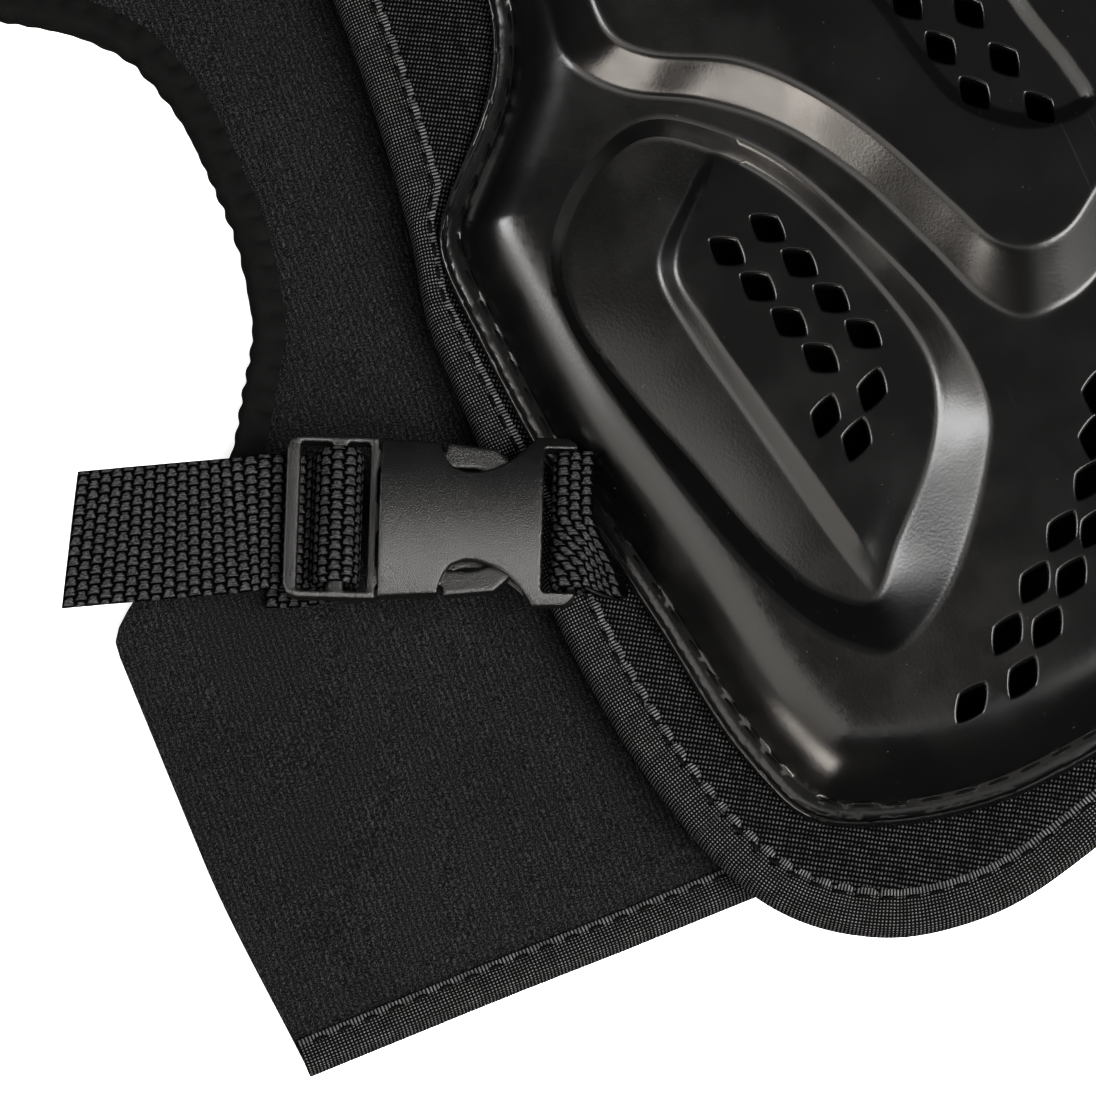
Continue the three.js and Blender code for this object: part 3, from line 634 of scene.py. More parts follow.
def node(tree, kind, settings=(), links=()):
    """Adds a shader node, gives its properties and sockets values by name, and links sockets to outputs."""
    made = tree.nodes.new(kind)
    for name, value in dict(settings).items():
        if hasattr(made, name):
            setattr(made, name, value)
        else:
            made.inputs[name].default_value = value
    for name, source in dict(links).items():
        tree.links.new(source, made.inputs[name])
    return made


def new_material(name, color, settings):
    """Material with a Principled shader in one colour and the settings that are the same all over."""
    material = bpy.data.materials.new(name)
    material.use_nodes = True
    shader = material.node_tree.nodes["Principled BSDF"]
    shader.inputs["Base Color"].default_value = srgb(color)
    for socket, value in settings.items():
        shader.inputs[socket].default_value = value
    return material, shader


def per_metre(pitch):
    """Scale of a pattern in Object coordinates whose features are one pitch in millimetres apart."""
    return 1000 / pitch


def link(source, target):
    """Links one output to one input of the same node tree."""
    source.id_data.links.new(source, target)


def coordinates(shader, kind):
    """Object coordinates in metres, or the UV of the cloth in millimetres."""
    return node(shader.id_data, "ShaderNodeTexCoord").outputs[kind]


def mapped(place, settings):
    """Coordinates turned or stretched."""
    return node(place.id_data, "ShaderNodeMapping", settings, {"Vector": place}).outputs["Vector"]


def split(place):
    """Axes of coordinates, by name."""
    return node(place.id_data, "ShaderNodeSeparateXYZ", (), {"Vector": place}).outputs


def calc(operation, *values):
    """Arithmetic on outputs and numbers, at least one of them an output."""
    outputs = [value for value in values if not isinstance(value, (int, float))]
    made = node(outputs[0].id_data, "ShaderNodeMath", {"operation": operation})
    for socket, value in zip(made.inputs, values):
        if isinstance(value, (int, float)):
            socket.default_value = value
        else:
            link(value, socket)
    return made.outputs["Value"]


def remap(value, low, high, to_low=0, to_high=1):
    """Smooth step of a value from one range to another."""
    settings = {"interpolation_type": "SMOOTHSTEP", "From Min": low, "From Max": high}
    settings.update({"To Min": to_low, "To Max": to_high})
    return node(value.id_data, "ShaderNodeMapRange", settings, {"Value": value}).outputs["Result"]


def noise(place, scale, detail=2):
    """Noise between 0 and 1."""
    settings = {"Scale": scale, "Detail": detail}
    return node(place.id_data, "ShaderNodeTexNoise", settings, {"Vector": place}).outputs["Fac"]


def bands(place, direction, pitch, wobble=0.0):
    """Even bands from 0 to 1, one pitch apart in the unit of the coordinates."""
    settings = {"wave_type": "BANDS", "bands_direction": direction}
    settings.update({"Scale": BAND_SCALE / pitch, "Distortion": wobble})
    return node(place.id_data, "ShaderNodeTexWave", settings, {"Vector": place}).outputs["Fac"]


def tone(shader, low, high, factor):
    """Colour between two sRGB values by a factor."""
    settings = {"data_type": "RGBA", "A": srgb(low), "B": srgb(high)}
    made = node(shader.id_data, "ShaderNodeMix", settings, {"Factor": factor})
    link(made.outputs["Result"], shader.inputs["Base Color"])


def shine(shader, level, factor):
    """Reflection of the threads only, up to a level."""
    link(calc("MULTIPLY", factor, level), shader.inputs["Specular IOR Level"])


def bump(shader, height, strength, distance):
    """Bumps of a height, the distance in millimetres."""
    settings = {"Strength": strength, "Distance": distance / 1000}
    made = node(shader.id_data, "ShaderNodeBump", settings, {"Height": height})
    link(made.outputs["Normal"], shader.inputs["Normal"])


# Moulded polyethylene: semi-gloss black with a faint orange peel, a little fine dust and hairline scratches
plate_black, plate_shader = new_material("moulded_polyethylene", "020202", {"IOR": 1.51})
place = coordinates(plate_shader, "Object")
gloss = remap(noise(place, per_metre(14), 4), 0.35, 0.65, 0.2, 0.27)
link(gloss, plate_shader.inputs["Roughness"])
specks = remap(noise(place, per_metre(0.8), 1), 0.79, 0.83)
stretch = mapped(place, {"Rotation": (0, 0, 0.9), "Scale": (1, 0.03, 1)})
hairs = noise(stretch, per_metre(0.9), 1)
scratches = remap(hairs, 0.74, 0.82, 0, 0.12)
tone(plate_shader, "020202", "242322", calc("MAXIMUM", specks, scratches))
bump(plate_shader, noise(place, per_metre(0.55)), 0.05, 0.3)

# Moulded acetal: satin black with the fine grain of a spark-eroded mould
buckle_black, buckle_shader = new_material("moulded_acetal", "020202", {"Specular IOR Level": 0.85})
place = coordinates(buckle_shader, "Object")
rub = remap(noise(place, per_metre(9), 3), 0.3, 0.7, 0.31, 0.37)
link(rub, buckle_shader.inputs["Roughness"])
bump(buckle_shader, noise(place, per_metre(0.19), 1), 0.9, 0.11)

# Polypropylene webbing: crowned bundles of filaments in columns, every second one half a cell on, with
# painted light in its colour: painted highlights on the crowns and painted shade in the black gaps
web_black, web_shader = new_material("polypropylene_webbing", "101011", {"Roughness": 0.5})
cloth = coordinates(web_shader, "UV")
axes = split(cloth)
along_cells = calc("DIVIDE", axes["X"], CELL_LONG)
cell_column = calc("FLOOR", along_cells)
half_step = calc("MULTIPLY", calc("FLOORED_MODULO", cell_column, 2), 0.5)
across_cells = calc("ADD", calc("DIVIDE", axes["Y"], CELL_WIDE), half_step)
place_long = calc("ABSOLUTE", calc("SUBTRACT", calc("FRACT", along_cells), 0.5))
in_cell = calc("FRACT", across_cells)
place_wide = calc("ABSOLUTE", calc("SUBTRACT", in_cell, 0.5))
tapered = calc("MULTIPLY_ADD", in_cell, 0.32, place_long)
ragged = calc("MULTIPLY_ADD", noise(cloth, 1 / 0.45), 0.4, tapered)
crown = calc("MULTIPLY", remap(ragged, 0.76, 0.6), remap(place_wide, 0.44, 0.3))
strands = mapped(cloth, {"Scale": (1, 3, 1)})
streak = remap(noise(strands, 1 / 0.8), 0.38, 0.62, 0.25, 1)
crown_highlight_gap_shade = calc("MULTIPLY", crown, streak)
# Painted highlight and shade: the thread crowns are coloured lighter and the gaps between them black
tone(web_shader, "010101", "232325", crown_highlight_gap_shade)
shine(web_shader, 0.2, crown_highlight_gap_shade)
bump(web_shader, crown_highlight_gap_shade, 0.6, 0.2)

# Grosgrain ribbon: painted highlights on the crowns where ribs and crossing threads meet and painted shade
# between them, plain ribs along its inner strip
tape_black, tape_shader = new_material("grosgrain_ribbon", "0f0f10", {"Roughness": 0.5})
cloth = coordinates(tape_shader, "UV")
axes = split(cloth)
ribs = bands(cloth, "X", RIB_PITCH, 0.5)
crossing = bands(cloth, "Y", CROSS_PITCH, 0.5)
strip = remap(axes["Y"], RIB_STRIP, RIB_STRIP - 0.2)
weave_light = calc("MULTIPLY", ribs, calc("MAXIMUM", crossing, strip))
patchy = remap(noise(cloth, 1 / 2.2), 0.3, 0.7, 0.5, 1)
painted_crown_highlights = calc("MULTIPLY", remap(weave_light, 0.25, 0.85), patchy)
# Painted highlight and shade: the rib crowns are coloured lighter and the hollows between them near black
tone(tape_shader, "040404", "424243", painted_crown_highlights)
shine(tape_shader, 0.2, painted_crown_highlights)
bump(tape_shader, weave_light, 0.7, 0.25)

# Knit mesh: rows of small loops, coloured with painted highlights on the loops and painted shade in the black
# pits between them
mesh_black, mesh_shader = new_material("knit_mesh", "0f0f10", {"Roughness": 0.55})
place = coordinates(mesh_shader, "Object")
leaning = mapped(place, {"Rotation": (0, 0, 0.6)})
wales = bands(leaning, "X", 0.00068, 1.5)
courses = bands(leaning, "Y", 0.00085, 1.5)
loop_light = calc("MULTIPLY", wales, courses)
uneven = remap(noise(place, per_metre(1.6), 3), 0.3, 0.7, 0.3, 1)
loop_highlight_pit_shade = calc("MULTIPLY", remap(loop_light, 0.2, 0.8), uneven)
# Painted highlight and shade: the loop tops are coloured lighter and the pits between them black
tone(mesh_shader, "020202", "2c2c2d", loop_highlight_pit_shade)
shine(mesh_shader, 0.15, loop_highlight_pit_shade)
bump(mesh_shader, loop_light, 0.6, 0.25)

# Brushed velour: short soft pile with fine broken wales down the garment and a cloudy nap, its colour a
# painted sheen that lightens the pile tips and wale ridges
velour_black, velour_shader = new_material(
    "brushed_velour", "0c0c0d", {"Roughness": 0.8, "Specular IOR Level": 0.02},
)
place = coordinates(velour_shader, "Object")
leaning = mapped(place, {"Rotation": (0, 0, 0.05)})
pile = remap(noise(place, per_metre(0.3), 1), 0.35, 0.75)
wale = remap(bands(leaning, "X", 0.0011, 3), 0, 1, 0.35, 1)
nap = remap(noise(place, per_metre(20), 4), 0.3, 0.7, 0.75, 1)
painted_pile_sheen = calc("MULTIPLY", pile, calc("MULTIPLY", wale, nap))
# Painted sheen: the pile tips and wale ridges are coloured lighter, in cloudy patches
tone(velour_shader, "030303", "222223", painted_pile_sheen)
bump(velour_shader, painted_pile_sheen, 0.7, 0.4)

# Rolled edging: the lining's smooth back, turned round the edge, soft and dull
edging_black, edging_shader = new_material(
    "rolled_edging", "050505", {"Roughness": 0.8, "Specular IOR Level": 0.03},
)
place = coordinates(edging_shader, "Object")
tone(edging_shader, "030303", "080808", noise(place, per_metre(3), 4))
bump(edging_shader, noise(place, per_metre(0.6)), 0.4, 0.2)

# Foam behind the plate: dead black through the holes
foam_black = new_material("foam_backing", "010101", {"Roughness": 0.9, "Specular IOR Level": 0})[0]

# Nylon sewing thread: twisted, slightly glossy black
thread_black, thread_shader = new_material(
    "nylon_thread", "020202", {"Roughness": 0.5, "Specular IOR Level": 0.05},
)
place = coordinates(thread_shader, "Object")
bump(thread_shader, noise(place, per_metre(0.3), 1), 0.5, 0.1)


def diamond_loops():
    """Loops of every hole on one half: a diamond with bulged sides, and wider ones up its flared rim."""
    turn = np.arange(HOLE_POINTS) / HOLE_POINTS * 2 * np.pi
    power = 2 / HOLE_BULGE
    across = np.sign(np.cos(turn)) * np.abs(np.cos(turn)) ** power
    along = np.sign(np.sin(turn)) * np.abs(np.sin(turn)) ** power
    holes = []
    for row in HOLE_ROWS:
        lean = np.radians(row["lean"])
        for i in range(row["count"]):
            centre = np.array([row["x"] + i * row["step_x"], row["y"] + i * row["step_y"]])
            rings = []
            for flare in (0, HOLE_FLARE * 0.5, HOLE_FLARE, HOLE_FLARE + 0.25):
                a = (HOLE_SHORT + flare) * across
                b = (HOLE_LONG + flare) * along
                x = a * np.cos(lean) + b * np.sin(lean)
                y = b * np.cos(lean) - a * np.sin(lean)
                rings.append(centre + np.stack([x, y], axis=-1))
            holes.append(rings)
    return holes


def plate_points():
    """Points of one half of the plate: rows beside each relief line, rings within the edge, an even field."""
    rows = []
    for line in (chest_foot, chest_crest, pod_rim, pod_floor):
        way = outward(line, True)
        rows += [line + way * gap for gap in LINE_ROWS]
    for line in (island_foot, island_top):
        way = outward(line, True)
        for gap in LINE_ROWS:
            row = line + way * gap
            rows.append(row[depth_of(pod_floor, row) > POD_MARGIN])
    way = outward(recess_rim, True)
    rows += [recess_rim - way * gap for gap in RECESS_ROWS]
    way = outward(plate_edge, True)
    rows += [plate_edge - way * inset for inset in EDGE_RINGS]
    x, y = np.meshgrid(np.arange(0.5, FIELD_COLUMNS), np.arange(FIELD_LOW, FIELD_HIGH))
    x = x * FIELD_STEP + (np.arange(len(x)) % 2)[:, None] * FIELD_STEP / 2
    y = y * FIELD_STEP * FIELD_ROW
    field = np.stack([x.ravel(), y.ravel()], axis=-1)
    clear = depth_of(plate_edge, field) > FIELD_INSET
    for line in (chest_foot, chest_crest, pod_rim, pod_floor, recess_rim):
        clear &= np.abs(depth_of(line, field)) > FIELD_CLEAR
    in_pod = depth_of(pod_floor, field) > POD_MARGIN
    for line in (island_foot, island_top):
        clear &= ~in_pod | (np.abs(depth_of(line, field)) > FIELD_CLEAR)
    return np.concatenate(rows + [field[clear]])


def half_rim():
    """Closed edge of one half of the plate: from its top round to its low end, then up the middle line."""
    start = int(np.argmin(np.where(plate_edge[:, 0] > HALF_START, plate_edge[:, 0], np.inf)))
    half = np.roll(plate_edge, -start, axis=0)
    half = half[half[:, 0] > HALF_START]
    if half[0, 1] < half[-1, 1]:
        half = half[::-1]
    middle = np.linspace((0, half[-1, 1]), (0, half[0, 1]), MIDDLE_POINTS)
    return np.concatenate([half, middle])


def plate_net(points, holes):
    """Delaunay net over points of one half and the loops of its edge and holes, without the holes."""
    rim = half_rim()
    loops = [rim] + [ring for rings in holes for ring in rings]
    edges = []
    count = 0
    for loop in loops:
        ids = np.arange(len(loop)) + count
        edges.append(np.stack([ids, np.roll(ids, -1)], axis=-1))
        count += len(loop)
    every = np.concatenate(loops + [points])
    net = delaunay_2d_cdt([Vector(p) for p in every], np.concatenate(edges).tolist(), [], 0, 1e-4)
    flat = np.array([tuple(p) for p in net[0]])
    faces = np.array(net[2])
    middle = flat[faces].mean(axis=1)
    inside = depth_of(rim, middle) > 0
    for rings in holes:
        inside &= depth_of(rings[0], middle) < 0
    return flat, faces[inside]


def mirrored_shell(top, under, faces):
    """Closed skin of a half and its mirror: both sheets and walls at the lone edges, joined in the middle."""
    n = len(top)
    sides = np.concatenate([faces[:, [0, 1]], faces[:, [1, 2]], faces[:, [2, 0]]])
    seen = set(map(tuple, sides.tolist()))
    lone = np.array([(a, b) for a, b in sides.tolist() if (b, a) not in seen])
    on_middle = np.abs(top[lone][:, :, 0]).max(axis=1) < ON_MIDDLE
    lone = lone[~on_middle]
    wall = np.stack([lone[:, 0] + n, lone[:, 1] + n, lone[:, 1], lone[:, 0]], axis=-1)
    spots = np.concatenate([top, under])
    sheet = np.concatenate([faces, faces[:, ::-1] + n])
    m = len(spots)
    both = np.concatenate([spots, spots * (-1, 1, 1)])
    twin = np.where(np.abs(spots[:, 0]) < ON_MIDDLE, np.arange(m), np.arange(m) + m)
    sheet = np.concatenate([sheet, twin[sheet][:, ::-1]])
    wall = np.concatenate([wall, twin[wall][:, ::-1]])
    used = np.unique(np.concatenate([sheet.ravel(), wall.ravel()]))
    index = np.zeros(len(both), int)
    index[used] = np.arange(len(used))
    return both[used], [index[sheet], index[wall]]


def chest_plate():
    """Moulded plate: a net over its points, lifted, sunk round the holes, thickened downward and mirrored."""
    points = plate_points()
    holes = diamond_loops()
    for rings in holes:
        points = points[depth_of(rings[-1], points) < -HOLE_CLEAR]
    points = points[(depth_of(plate_edge, points) > EDGE_CLEAR) & (points[:, 0] > MIDDLE_CLEAR)]
    keep = np.unique(np.round(points / SAME_POINT).astype(int), axis=0, return_index=True)[1]
    flat, faces = plate_net(points[np.sort(keep)], holes)
    height = plate_top(flat[:, 0], flat[:, 1])
    drop = np.zeros(len(flat))
    for rings in holes:
        reach = -depth_of(rings[0], flat)
        drop = np.maximum(drop, HOLE_DROP * np.clip(1 - reach / HOLE_FLARE, 0, 1) ** 2)
    top = np.column_stack([flat, height - drop])
    under = np.column_stack([flat, height - PLATE_THICK])
    return mirrored_shell(top, under, faces)


spots, faces = chest_plate()
add_piece("chest_plate", spots, faces, plate_black, ["front_plate"], sharp=PLATE_SHARP)


def panel_grid(place, across, along):
    """Grid of points of a panel over evenly spaced u and v, with its x and y."""
    u, v = np.meshgrid(np.linspace(-1, 1, across), np.linspace(0, 1, along), indexing="ij")
    x, y = place(u, v)
    return u, v, x, y


def fullness(u, v, stretch, width):
    """Share of the padding: 0 at the edge of a panel, and 1 from about twice the width within it."""
    edge = np.minimum(1 - np.abs(u), np.minimum(v, 1 - v) * stretch)
    return 1 - np.exp(-((edge / width) ** 2))


def padded_front():
    """Front panel: two skins that pull together at the edge and swell a little beside the plate."""
    u, v, x, y = panel_grid(front_place, across=130, along=150)
    middle = front_height(x, y)
    full = fullness(u, v, stretch=2, width=0.03)
    out = -depth_inside(plate_edge, x, y)
    swell = FRONT_SWELL * np.clip(out / SWELL_WIDTH, 0, 1) * full
    top = np.stack([x, y, middle + FRONT_EDGE_HALF + FRONT_FILL_UP * full + swell], axis=-1)
    under = np.stack([x, y, middle - FRONT_EDGE_HALF - FRONT_FILL_DOWN * full], axis=-1)
    return shell(top, under)


spots, faces = padded_front()
front_pad = add_piece("front_panel_pad", spots, faces, mesh_black, ["front_panel"])

# The part of the front panel that the plate covers shows the foam
front_pad.data.materials.append(foam_black)
face_middle = np.zeros(len(front_pad.data.polygons) * 3, np.float32)
front_pad.data.polygons.foreach_get("center", face_middle)
face_middle = face_middle.reshape(-1, 3) * 1000
behind = depth_inside(plate_edge, face_middle[:, 0], face_middle[:, 1] + MIDDLE_Y) > FOAM_INSET
front_pad.data.polygons.foreach_set("material_index", behind.astype(np.int32))


def padded_back():
    """Back panel: two skins that pull together at the edge, with low waves and a seam ridge."""
    u, v, x, y = panel_grid(back_place, across=160, along=120)
    middle = back_height(x, y)
    full = fullness(u, v, stretch=1.6, width=0.035)
    side = np.abs(x)
    across = (side - RIDGE_X + RIDGE_LEAN * (y - RIDGE_MIDDLE_Y)) / RIDGE_WIDTH
    ends = ease((y - RIDGE_LOW_Y) / 25) * ease((RIDGE_HIGH_Y - y) / 20)
    ridge = RIDGE_RISE * np.exp(-across ** 2) * ends
    wave = 0.35 * np.sin(side / 13 + y / 31) + 0.3 * np.sin(y / 17 - side / 29 + 1)
    top = np.stack([x, y, middle + BACK_EDGE_HALF + full * (1 + 0.5 * wave + ridge)], axis=-1)
    low = middle - BACK_EDGE_HALF - BACK_FILL_DOWN * full
    under = np.stack([x, y, np.maximum(low, 0)], axis=-1)
    return shell(top, under)


spots, faces = padded_back()
back_pad = add_piece("back_panel_pad", spots, faces, velour_black, ["back_panel"])


def folded_tape(line, closed, height, half, inside, pitch, lump=0.0):
    """Ribbon folded round an edge: a rounded channel along the line, pinched at every stitch, with lumps.

    Its place on the cloth is the length along the line and the distance from the upper inner edge.
    """
    length = run_length(line)
    way = outward(line, closed)
    turn = np.linspace(-np.pi / 2, np.pi / 2, TURN_POINTS)
    reach = np.linspace(1, 0, FLAT_POINTS + 1)[:-1]
    lift = half + TAPE_CLOTH
    inner = half + LINING_RISE
    pinch = np.abs(np.sin(np.pi * length / pitch)) ** 0.7
    flat = np.concatenate([-reach, np.zeros(TURN_POINTS), -reach[::-1]])
    round_out = np.pad(np.cos(turn), FLAT_POINTS)
    round_up = np.pad(np.sin(turn), FLAT_POINTS, mode="edge")
    sewn = np.exp(-(((np.abs(flat) - STITCH_PLACE) / SEAM_WIDTH) ** 2))
    end_in = np.zeros(len(flat))
    end_in[[0, -1]] = TAPE_TUCK
    uneven = 1 + lump * np.sin(2 * np.pi * length / pitch + 1.6 * np.sin(length / 7.3)) * np.cos(length / 11)
    out = flat[None, :] * inside[:, None] + round_out[None, :] * TAPE_OUT * uneven[:, None]
    up = round_up * (lift - end_in)
    dent = ((1 - pinch)[:, None] * PINCH_DEPTH + SEAM_DEPTH) * sewn[None, :]
    up = up[None, :] - np.sign(up)[None, :] * dent
    x = line[:, None, 0] + way[:, None, 0] * out
    y = line[:, None, 1] + way[:, None, 1] * out
    outer = np.stack([x, y, height(x, y) + up], axis=-1)
    x_in = line[:, None, 0] + way[:, None, 0] * np.minimum(out, LINING_OUT)
    y_in = line[:, None, 1] + way[:, None, 1] * np.minimum(out, LINING_OUT)
    up_in = np.clip(up, -inner, inner)
    lining = np.stack([x_in, y_in, height(x_in, y_in) + up_in], axis=-1)
    loop = np.concatenate([outer, lining[:, 1:-1][:, ::-1]], axis=1)
    across = np.concatenate([np.zeros((len(line), 1)), np.linalg.norm(np.diff(loop, axis=1), axis=2)], axis=1)
    reached = np.cumsum(across, axis=1)
    from_edge = reached[:, [len(flat) - 1]] - reached
    uv = np.stack([np.broadcast_to(length[:, None], loop.shape[:2]), from_edge], axis=-1)
    rows, columns = loop.shape[:2]
    faces = [grid_faces(rows, columns, closed, True)]
    if not closed:
        faces.append(np.arange(columns)[None, ::-1])
        faces.append(np.arange(columns)[None, :] + (rows - 1) * columns)
    return loop, faces, uv


def stitches(start, end, lift, radius):
    """Threads: round bars arched from start to end, thinner where they dive in."""
    t = np.array([0, 0.22, 0.5, 0.78, 1])
    rise = np.array([-0.35, 0.12, 0.3, 0.12, -0.35])
    thick = np.array([0.55, 1, 1.05, 1, 0.55]) * radius
    turn = np.arange(THREAD_SIDES) / THREAD_SIDES * 2 * np.pi
    side = unit(np.cross(lift, unit(end - start)))
    centre = start[:, None] + (end - start)[:, None] * t[None, :, None] + lift[:, None] * rise[None, :, None]
    turn = turn[None, None, :, None]
    ring = np.cos(turn) * side[:, None, None] + np.sin(turn) * lift[:, None, None]
    spots = centre[:, :, None] + ring * thick[None, :, None, None]
    one = grid_faces(len(t), THREAD_SIDES, False, True)
    cap = np.arange(THREAD_SIDES)
    caps = np.stack([cap[::-1], cap + (len(t) - 1) * THREAD_SIDES])
    shift = np.arange(len(start))[:, None, None] * len(t) * THREAD_SIDES
    return spots, [(one[None] + shift).reshape(-1, 4), (caps[None] + shift).reshape(-1, THREAD_SIDES)]


def sewn_line(name, line, way, inset, height, lift, pitch, length_share, radius):
    """Row of stitches along an edge, inset from it, lying on a surface height."""
    x = line[:, 0] - way[:, 0] * inset
    y = line[:, 1] - way[:, 1] * inset
    z = height(x, y) + lift
    row = np.stack([x, y, z], axis=-1)
    length = run_length(row)
    stops = np.arange(pitch * 0.5, length[-1] - pitch, pitch)
    at = lambda s: np.stack([np.interp(s, length, row[:, k]) for k in range(3)], axis=-1)
    start = at(stops)
    end = at(stops + pitch * length_share)
    up = np.tile([0.0, 0.0, 1.0], (len(start), 1))
    spots, faces = stitches(start, end, up, radius)
    return add_piece(name, spots, faces, thread_black, sharp=THREAD_SHARP)


front_edge = even_line(smooth_outline(front_place, count=300, pitch=0.75, reach=5), 0.75, True)
plate_gap = -depth_of(plate_edge, front_edge)
binding_in = np.clip(plate_gap - BINDING_CLEAR, BINDING_NARROWEST, BINDING_WIDEST)
spots, faces, uv = folded_tape(front_edge, True, front_height, FRONT_HALF_THICK, binding_in, BINDING_PITCH)
add_piece("front_edge_binding", spots, faces, tape_black, ["front_binding"], uv, CLOTH_SHARP)

hem_u = np.linspace(-1, 1, HEM_POINTS)
hem_edge = np.stack(back_place(hem_u, np.zeros(HEM_POINTS)), axis=-1)
hem_in = np.full(HEM_POINTS, HEM_TAPE_WIDTH)
spots, faces, uv = folded_tape(hem_edge, False, back_height, BACK_HALF_THICK, hem_in, HEM_PITCH)
add_piece("back_hem_ribbon", spots, faces, tape_black, ["back_hem_tape"], uv, CLOTH_SHARP)

for hand, name in HANDS:
    v = np.linspace(ARMHOLE_LOW, ARMHOLE_HIGH, ARMHOLE_POINTS)
    armhole = np.stack(back_place(np.full(ARMHOLE_POINTS, hand), v if hand > 0 else v[::-1]), axis=-1)
    width = np.full(ARMHOLE_POINTS, ARMHOLE_TAPE_WIDTH)
    spots, faces, uv = folded_tape(
        armhole, False, back_height, BACK_HALF_THICK, width, ARMHOLE_PITCH, ARMHOLE_LUMP,
    )
    cad_node = "armhole_tape_" + name
    add_piece("armhole_ribbon_" + name, spots, faces, edging_black, [cad_node], uv, CLOTH_SHARP)

front_way = outward(front_edge, True)
sewn_line(
    "binding_stitches", front_edge, front_way, binding_in * STITCH_PLACE, front_height,
    lift=FRONT_HALF_THICK + TAPE_CLOTH - 0.1, pitch=BINDING_PITCH, length_share=STITCH_SHARE, radius=0.3,
)
sewn_line(
    "hem_stitches", hem_edge, outward(hem_edge, False), HEM_TAPE_WIDTH * STITCH_PLACE, back_height,
    lift=BACK_HALF_THICK + TAPE_CLOTH - 0.1, pitch=HEM_PITCH, length_share=STITCH_SHARE, radius=0.32,
)
sewn_line(
    "plate_stitches", plate_edge, outward(plate_edge, True), PLATE_STITCH_INSET, plate_top,
    lift=-0.05, pitch=PLATE_STITCH_PITCH, length_share=0.8, radius=0.25,
)


def in_buckle(hand, along, wide, over):
    """Points drawn along, across and over one buckle, set into its turned place beside the vest."""
    out = np.array([hand * np.cos(BUCKLE_TURN), np.sin(BUCKLE_TURN), 0])
    cross = np.array([-hand * np.sin(BUCKLE_TURN), np.cos(BUCKLE_TURN), 0])
    up = np.array([0, 0, 1])
    start = np.array([hand * BUCKLE_X, BUCKLE_Y, BUCKLE_Z])
    return start + along[..., None] * out + wide[..., None] * cross + over[..., None] * up


def weave(length, across):
    """Rise of woven webbing: rounded cells in columns, every second column half a cell further on."""
    column_number = np.floor(length / CELL_LONG)
    a = length / CELL_LONG - column_number
    b = (across / CELL_WIDE + 0.5 * (column_number % 2)) % 1
    bulge = np.clip(1 - ((2 * a - 1) / 0.85) ** 2, 0, 1) ** 0.5
    return CELL_RISE * bulge * np.clip(1 - (2 * b - 1) ** 2, 0, 1) ** 0.4


def tail_bend(along, wide, share):
    """Turn of the free strap end from the buckle's direction, with its slanted cut."""
    past = along - TAIL_BEND_START
    bent = (past > 0) & (share > 0.5)
    angle = -TAIL_BEND * ease(past / TAIL_BEND_EASE)
    slant = CUT_SLANT * (wide / WEB_WIDTH) * ease(past / (TAIL_END - TAIL_BEND_START))
    reach = past - 2 * slant
    turned = TAIL_BEND_START + reach * np.cos(angle) - wide * np.sin(angle)
    return np.where(bent, turned, along), np.where(bent, wide * np.cos(angle) + reach * np.sin(angle), wide)


def tab_fall(along, wide, over):
    """Fall of the tab's lower corner onto the front panel."""
    past = np.clip(TAB_TURN - along, 0, None)
    share = ease((TAB_CORNER - wide) / TAB_CORNER_EASE)
    reach = np.where(past > 0, TAB_TURN - past * (1 + TAB_REACH * share), along)
    return reach, over - TAB_FALL * share * ease(past / TAB_FOLD)


def webbing(hand, rows, tab):
    """Band of webbing along a smooth path: both faces carry the weave, and its edges are thinner.

    The weave of the tab is counted along its fallen path, so its cells keep their length there.
    """
    points = np.stack([column(rows, "along"), column(rows, "over")], axis=-1)
    path = even_line(spline(points, False, 24), WEB_STEP, False)
    way = unit(np.gradient(path, axis=0))
    length = np.arange(len(path)) * np.linalg.norm(path[1] - path[0])
    across = np.linspace(0, WEB_WIDTH, WEB_POINTS)
    s, w = np.meshgrid(length, across, indexing="ij")
    if tab:
        fallen = np.stack(tab_fall(path[:, :1] + 0 * w, w - WEB_WIDTH / 2, path[:, 1:] + 0 * w), axis=-1)
        step = np.linalg.norm(np.diff(fallen, axis=0), axis=-1)
        s = np.concatenate([np.zeros((1, len(across))), np.cumsum(step, axis=0)])
    lip = np.clip(np.minimum(w, WEB_WIDTH - w) / WEB_LIP, 0, 1) ** 0.5
    share = s / length[-1]
    faces = []
    for side in (1, -1):
        cells = weave(s + (side < 0) * CELL_LONG / 2, w)
        lift = side * (WEB_EDGE_HALF + lip * (WEB_THICK / 2 - WEB_SINK + cells))
        along = path[:, None, 0] - way[:, None, 1] * lift
        over = path[:, None, 1] + way[:, None, 0] * lift
        wide = w - WEB_WIDTH / 2
        if tab:
            along, over = tab_fall(along, wide, over)
        else:
            along, wide = tail_bend(along, wide, share)
        faces.append(in_buckle(hand, along, wide, over))
    uv = np.stack([s, w], axis=-1)
    spots, quads = shell(faces[0], faces[1])
    return spots, quads, np.concatenate([uv.reshape(-1, 2), uv.reshape(-1, 2)])


